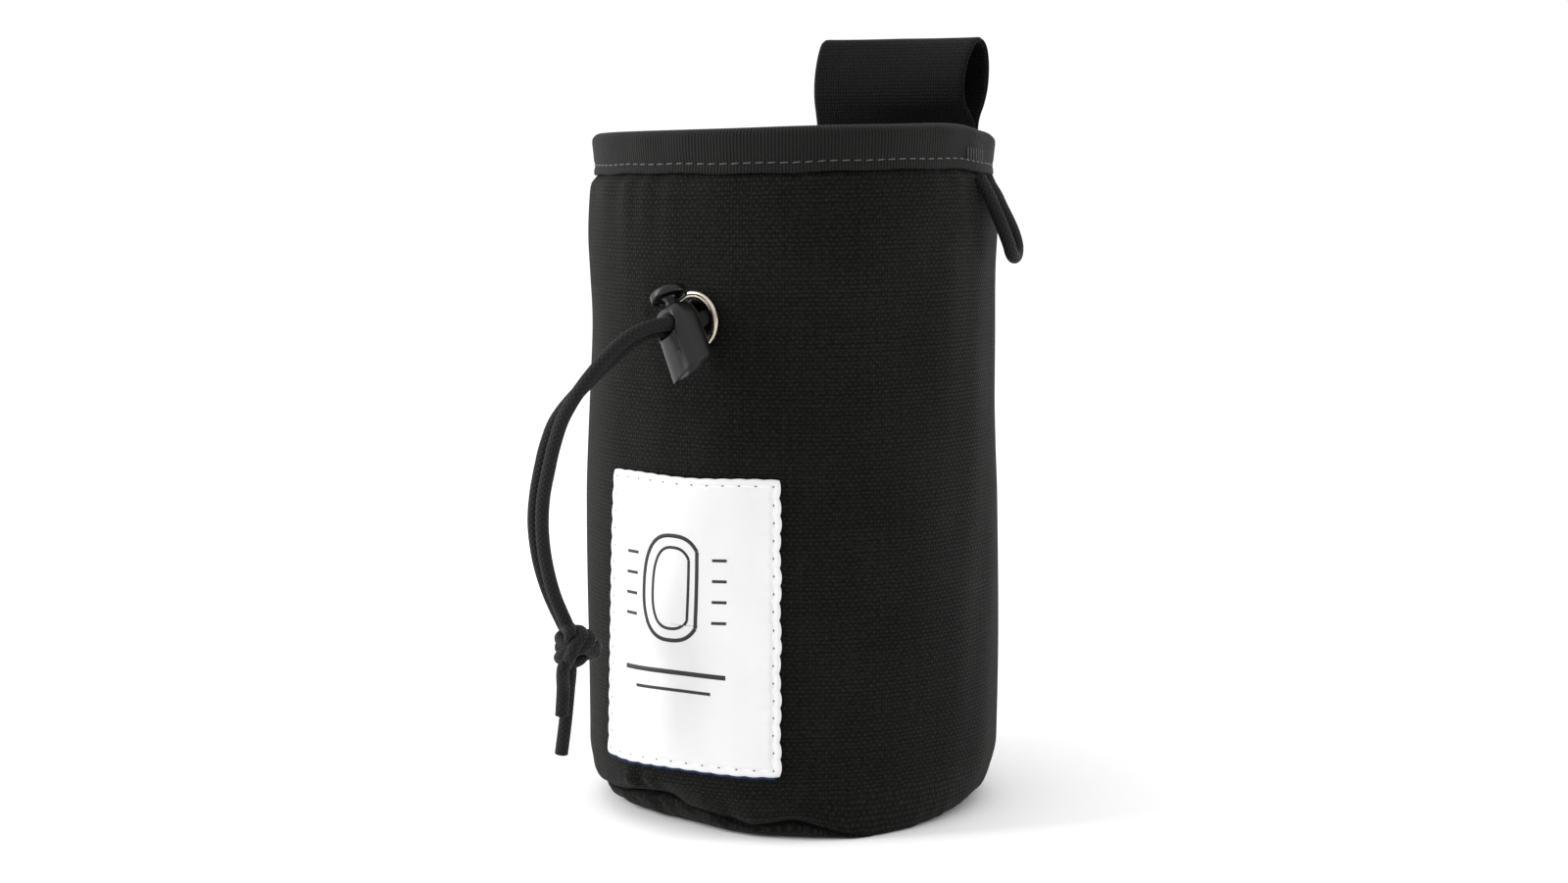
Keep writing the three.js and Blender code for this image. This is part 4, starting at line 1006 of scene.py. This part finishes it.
def make_barrel():
    """The lock's barrel: squarish rings whose depth is a share s, and width s^0.8, of the barrel's at each
    height, with a round shoulder and a well for the neck on top. Its far end is cut slanting,
    z = END_LOW + END_CUT y - END_TIP x, with a hollow in it. The hole across it is pushed in from both
    sides, and a slim groove runs down beside it."""
    top = [(0.001, 0.0006), (0.34, 0.0006), (0.37, 0.0044), (0.4, 0.0049), (0.5, 0.0051), (0.62, 0.00505),
           (0.71, 0.0048), (0.79, 0.0043), (0.86, 0.0036)]
    shoulder = [(0.92, 0.0028), (0.96, 0.0019)]
    side_top, side_low = 0.0014, END_LOW + 0.0004
    sides = [(0.975 + 0.025 * t**0.6, side_top + (side_low - side_top) * t) for t in np.linspace(0, 1, 58)]
    hollow = [(0.99, 0.00015), (0.97, 0), (0.85, 0), (0.83, 0.00015), (0.81, 0.0014), (0.4, 0.0018),
              (0.001, 0.0018)]
    table = np.array(top + shoulder + sides + [(share, END_LOW + up) for share, up in hollow])
    turn = np.linspace(0, 2 * np.pi, 241)
    cx, cy = squarish(turn, BARREL_POWER)
    share, z = table[:, :1], np.broadcast_to(table[:, 1:], (len(table), len(turn)))
    x, y = BARREL_DEEP / 2 * share * cx, BARREL_WIDE / 2 * share ** 0.8 * cy
    low = smooth(-0.0025, END_LOW, z)
    z = z + (END_CUT * y - END_TIP * x) * low
    slot = np.hypot(np.clip(np.abs(y) - (HOLE_HALF - HOLE_CORNER), 0, None), z) - HOLE_CORNER
    face = (np.abs(cx) > 0.5) & (np.arange(len(table))[:, None] >= len(top))
    hole = smooth(0.0003, -0.0003, slot) * face
    lip = bell(slot, 0.0005, 0.0004) * face
    groove = np.hypot(np.clip(np.abs(z + GROOVE_DOWN) - GROOVE_HALF, 0, None), y - GROOVE_SIDE) - GROOVE_WIDE
    cut = smooth(0.00025, -0.00025, groove) * (x > 0) * face
    x = x * (1 - HOLE_DEEP * hole + HOLE_LIP * lip) - GROOVE_DEEP * cut
    grid = on_lock(x, y, z)
    return piece("lock_barrel", [(grid, None)], lock_look, ["cord_lock_barrel"])


def make_button():
    """The lock's button: a lathe of (rho, z) with a round head over a straight neck, four rows to each
    stretch of its profile."""
    top = HOLE_DOWN + NECK_LONG
    half, neck, tall = HEAD / 2, NECK / 2, HEAD_TALL
    profile = np.array([
        (0.00001, NECK_FOOT), (neck - 0.0002, NECK_FOOT), (neck, NECK_FOOT + 0.0002), (neck, top - 0.0006),
        (neck + 0.0003, top - 0.0001), (0.7 * half, top + 0.0003), (0.8 * half, top + 0.0002),
        (0.86 * half, top - 0.0003), (0.95 * half, top - 0.0003), (half, top),
        (half * 1.005, top + 0.4 * tall), (0.985 * half, top + 0.6 * tall), (0.92 * half, top + 0.78 * tall),
        (0.78 * half, top + 0.9 * tall), (0.5 * half, top + 0.97 * tall), (0.00001, top + tall),
    ])
    stretch = np.arange(len(profile))
    even = np.linspace(0, len(profile) - 1, 4 * (len(profile) - 1) + 1)
    rows = np.stack([np.interp(even, stretch, profile[:, k]) for k in (0, 1)], -1)
    turn = np.linspace(0, 2 * np.pi, 73)
    x, y = rows[:, :1] * np.cos(turn), rows[:, :1] * np.sin(turn)
    grid = on_lock(x, y, np.broadcast_to(rows[:, 1:], x.shape))
    return piece("lock_button", [(grid, None)], lock_look, ["cord_lock_plunger"],
                 body="plunger")


make_barrel()
make_button()


# Label

def label_point(s, t, lift):
    """Point of the patch: s from 0 at its left edge to 1 at its right, t from 0 at its foot to 1 at its
    head. It lies on the wall with a puckered row of stitches LABEL_SEAM in from its edges, and the edges
    draw in by |sin| at each stitch."""
    from_right = (1 - s) * LABEL_WIDE
    pull = np.abs(np.sin(np.pi * t * LABEL_TALL / LABEL_STITCH))
    pull_low = np.abs(np.sin(np.pi * s * LABEL_WIDE / LABEL_STITCH))
    left = curve_through(LABEL_LEFT, t) - 0.2 * pull * (1 - smooth(0, 0.06, s))
    right = LABEL_RIGHT + (0.5 * pull**0.7 + 0.15 * np.sin(31 * t)) * smooth(0.93, 1, s)
    z = LABEL_LOW + LABEL_TALL * t + 0.0002 * np.sin(9 * s) * np.where(t > 0.5, 1, -1)
    z = z - 0.00018 * pull_low * (1 - smooth(0, 0.05, t)) + 0.00018 * pull_low * smooth(0.95, 1, t)
    edges = np.minimum(np.minimum(s * LABEL_WIDE, from_right), np.minimum(t, 1 - t) * LABEL_TALL)
    groove = -LABEL_GROOVE * bell(edges, LABEL_SEAM, 0.0005)
    pucker = 0.00026 * pull * bell(from_right, 0.0008, 0.003)
    pucker = pucker + 0.0002 * pull * bell(s * LABEL_WIDE, 0.0008, 0.002)
    pucker = pucker + 0.00018 * pull_low * bell(t * LABEL_TALL, 0.0008, 0.002)
    crease = 0.00028 * np.sin(16 * t + 7 * s + 2 * np.sin(5 * t)) * smooth(0.5, 0.95, s) * np.sin(np.pi * t)
    loose = 0.00035 * np.sin(11 * t + 6 * s) * np.sin(np.pi * s) * np.sin(np.pi * t)
    radius = outline(z) + LABEL_OFF + lift + groove + pucker + crease + loose
    return laid(left + (right - left) * s, radius, z)


def make_label():
    """The patch: its face and its back, one closed skin LABEL_PLY thick that thins out over its outermost
    LABEL_EDGE as a square root."""
    s = np.r_[0, 0.003, np.linspace(0.01, 0.99, 140), 0.997, 1]
    t = np.r_[0, 0.003, np.linspace(0.01, 0.99, 240), 0.997, 1]
    ss, tt = np.meshgrid(s, t)
    edges = np.minimum(np.minimum(ss, 1 - ss) * LABEL_WIDE, np.minimum(tt, 1 - tt) * LABEL_TALL)
    thick = LABEL_PLY * np.clip(edges / LABEL_EDGE, 0, 1) ** 0.5
    face, back = label_point(ss, tt, thick), label_point(ss, tt, 0 * ss - 0.0001)
    uv = np.stack([ss * LABEL_WIDE, tt * LABEL_TALL], -1) / MM
    patch = piece("label_patch", skin(face, back, uv), label_look, ["label"])
    return patch


make_label()


def label_backing():
    """A dark blue underlay of the patch's own form that shows 0.6 mm below its foot and at the lower part
    of its left edge."""
    blue = Finish("label_underlay", Roughness=0.8, Specular_IOR_Level=0.2)
    blue.colour((0.004, 0.012, 0.035), (0.01, 0.03, 0.075), blue.noise(1500.0, 2.0))
    blue.bump(blue.noise(2500.0, 1.0), 0.00005)
    ss, tt = np.meshgrid(np.linspace(-0.006, 0.98, 90), np.linspace(-0.0085, 0.4, 40))
    ss = np.where(ss < 0, ss * (1 - smooth(0.1, 0.35, tt)), ss)
    face, back = label_point(ss, tt, 0 * ss - 0.00005), label_point(ss, tt, 0 * ss - 0.0003)
    return piece("label_underlay", skin(face, back), blue.material)


label_backing()


def ribbon(line, wide):
    """Flat printed line on the label: a path in millimetres from its left foot with that width, from INK_LOW
    to INK_HIGH above the label's middle, so its top is just proud of the cloth."""
    flat = evenly(np.asarray(line, float), 0.4)
    run = np.gradient(flat, axis=0)
    side = np.stack([-run[:, 1], run[:, 0]], -1) / np.linalg.norm(run, axis=1)[:, None] * wide / 2
    section = ((-1, INK_LOW), (-1, INK_HIGH), (1, INK_HIGH), (1, INK_LOW), (-1, INK_LOW))
    grid = np.stack([on_label(flat + side * shift, lift) for shift, lift in section], 1)
    return poled(grid, np.zeros(grid.shape[:2] + (2,)))


def on_label(at, lift):
    """Point of the label at millimetres from its left foot."""
    s, t = at[..., 0] * MM / LABEL_WIDE, at[..., 1] * MM / LABEL_TALL
    return label_point(s, t, np.full(s.shape, lift))


def link_outline(wide, tall):
    """A link's outline without its gate, a squarish oval about LINK_MIDDLE:
    |2x / wide|^p + |2y / tall|^p = 1, where p is LINK_POWER."""
    x, y = squarish(np.radians(np.linspace(GATE_FROM, GATE_TO, 90)), LINK_POWER)
    return np.stack([LINK_MIDDLE[0] + x * wide / 2, LINK_MIDDLE[1] + y * tall / 2], -1)


def make_print():
    """A plain generic mark in dark ink: an outlined snap link with a gate, and bars beside and below it."""
    ink = Finish("label_ink", Roughness=0.6)
    ink.colour((0.003, 0.0035, 0.004), (0.008, 0.009, 0.011), ink.noise(900.0, 2.0))
    ink.bump(ink.noise(3000.0, 1.0), 0.00003)
    patches = [ribbon([start, end], bold) for start, end, bold in RULES]
    for wide, tall, bold in LINKS:
        hook = link_outline(wide, tall)
        patches += [ribbon(hook, bold), ribbon([hook[-1], hook[0]], bold)]
    for up in BARS_UP:
        patches += [ribbon([(left, up), (right, up)], BAR_WIDE) for left, right in BARS_ACROSS]
    return piece("label_print", patches, ink.material, ())


make_print()


def seam_row(start, end, shift, long, lift):
    """Spindles on the label from one corner to the next, one to a LABEL_STITCH, shifted by a share of it."""
    count = int(round(np.linalg.norm(end - start) * MM / LABEL_STITCH))
    flat = start + (end - start) * ((np.arange(count) + shift) / count)[:, None]
    spots, nexts = on_label(flat, lift), on_label(flat + unit(end - start) * 0.5, lift)
    return stitches(spots, unit(nexts - spots), unit(spots * np.array([1, 1, 0])), long, THREAD_THICK)


def label_stitches():
    """White stitches LABEL_SEAM in from the patch's edges, and between them near-black spindles that paint
    the shade in the needle holes.
    """
    seam, wide, tall = LABEL_SEAM / MM, LABEL_WIDE / MM, LABEL_TALL / MM
    corners = np.array([(seam, seam), (wide - seam, seam), (wide - seam, tall - seam), (seam, tall - seam)])
    sides = list(zip(corners, np.roll(corners, -1, 0)))
    threads = [seam_row(start, end, 0.5, THREAD_LONG, THREAD_LIFT) for start, end in sides]
    # near-black spindles in the needle holes between the stitches: painted shade in the holes
    holes = [seam_row(start, end, 0, NEEDLE_LONG, NEEDLE_LIFT) for start, end in sides]
    piece("label_stitches", threads, white_thread)
    piece("label_needle_hole_shade", holes, needle_hole_shade)


label_stitches()

drawcord_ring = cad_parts["drawcord_ring"]
for slot in drawcord_ring.material_slots:
    slot.material = cord_look


# Studio

def make_floor():
    """A flat pale sheet under the bag, a square grid in line with the view."""
    a, f = np.meshgrid(np.linspace(-6, 6, 13), np.linspace(-6, 6, 13))
    points = a[..., None] * photo_right + f[..., None] * photo_into
    ids = np.arange(a.size).reshape(a.shape)
    faces = np.stack([ids[:-1, :-1], ids[:-1, 1:], ids[1:, 1:], ids[1:, :-1]], -1).reshape(-1, 4)
    mesh = bpy.data.meshes.new("studio_floor")
    mesh.from_pydata(points.reshape(-1, 3), [], faces)
    mesh.shade_smooth()
    floor = bpy.data.objects.new("studio_floor", mesh)
    bpy.context.scene.collection.objects.link(floor)
    paper = Finish("studio_paper", Roughness=0.9, Specular_IOR_Level=0.3)
    paper.colour((0.94, 0.94, 0.94), (0.96, 0.96, 0.96), paper.noise(3.0, 2.0))
    mesh.materials.append(paper.material)


def soft_light(name, spot, aim, wide, tall, power):
    """A rectangular soft box at spot that faces aim: its own z points back from aim, its x lies level."""
    data = bpy.data.lights.new(name, "AREA")
    data.shape, data.size, data.size_y, data.energy = "RECTANGLE", wide, tall, power
    box = bpy.data.objects.new(name, data)
    spot, aim = np.array(spot, float), np.array(aim, float)
    back = unit(spot - aim)
    side = unit(np.cross([0, 0, 1], back))
    up = np.cross(back, side)
    matrix = np.eye(4)
    matrix[:3] = np.stack([side, up, back, spot], -1)
    box.matrix_world = matrix.T
    bpy.context.scene.collection.objects.link(box)


def photo_spot(right, toward, up):
    """A place given from the photograph's side: to the right, towards the camera, and up."""
    return photo_right * right - photo_into * toward + np.array([0, 0, up])


def set_lights():
    """A soft sky light from above, a tall soft box on the left and a small low one on the right, and air
    that is white behind the bag and a little greyer in front of it."""
    for name, right, near, up, aim, wide, tall, watts in SOFT_BOXES:
        soft_light(name, photo_spot(right, near, up), (0, 0, aim), wide, tall, watts)
    sky = bpy.data.lights.new("sky_light", "SUN")
    sky.energy, sky.angle = SUN_POWER, SUN_ANGLE
    lamp = bpy.data.objects.new("sky_light", sky)
    lamp.rotation_euler = (SUN_LEAN, 0, np.radians(VIEW_TURN))
    bpy.context.scene.collection.objects.link(lamp)
    world = bpy.data.worlds.new("studio_air")
    world.use_nodes = True
    tree = world.node_tree
    way = tree.nodes.new("ShaderNodeVectorMath")
    way.operation = "DOT_PRODUCT"
    way.inputs[1].default_value = photo_into
    tree.links.new(tree.nodes.new("ShaderNodeTexCoord").outputs["Generated"], way.inputs[0])
    air = Field(tree, way.outputs["Value"]).mapped(-0.3, 0.4, 0.7, 1.06)
    tree.links.new(air.socket, tree.nodes["Background"].inputs["Strength"])
    tree.nodes["Background"].inputs["Color"].default_value = (1, 1, 1, 1)
    bpy.context.scene.world = world
    bpy.context.scene.view_settings.view_transform = "Standard"


make_floor()
set_lights()
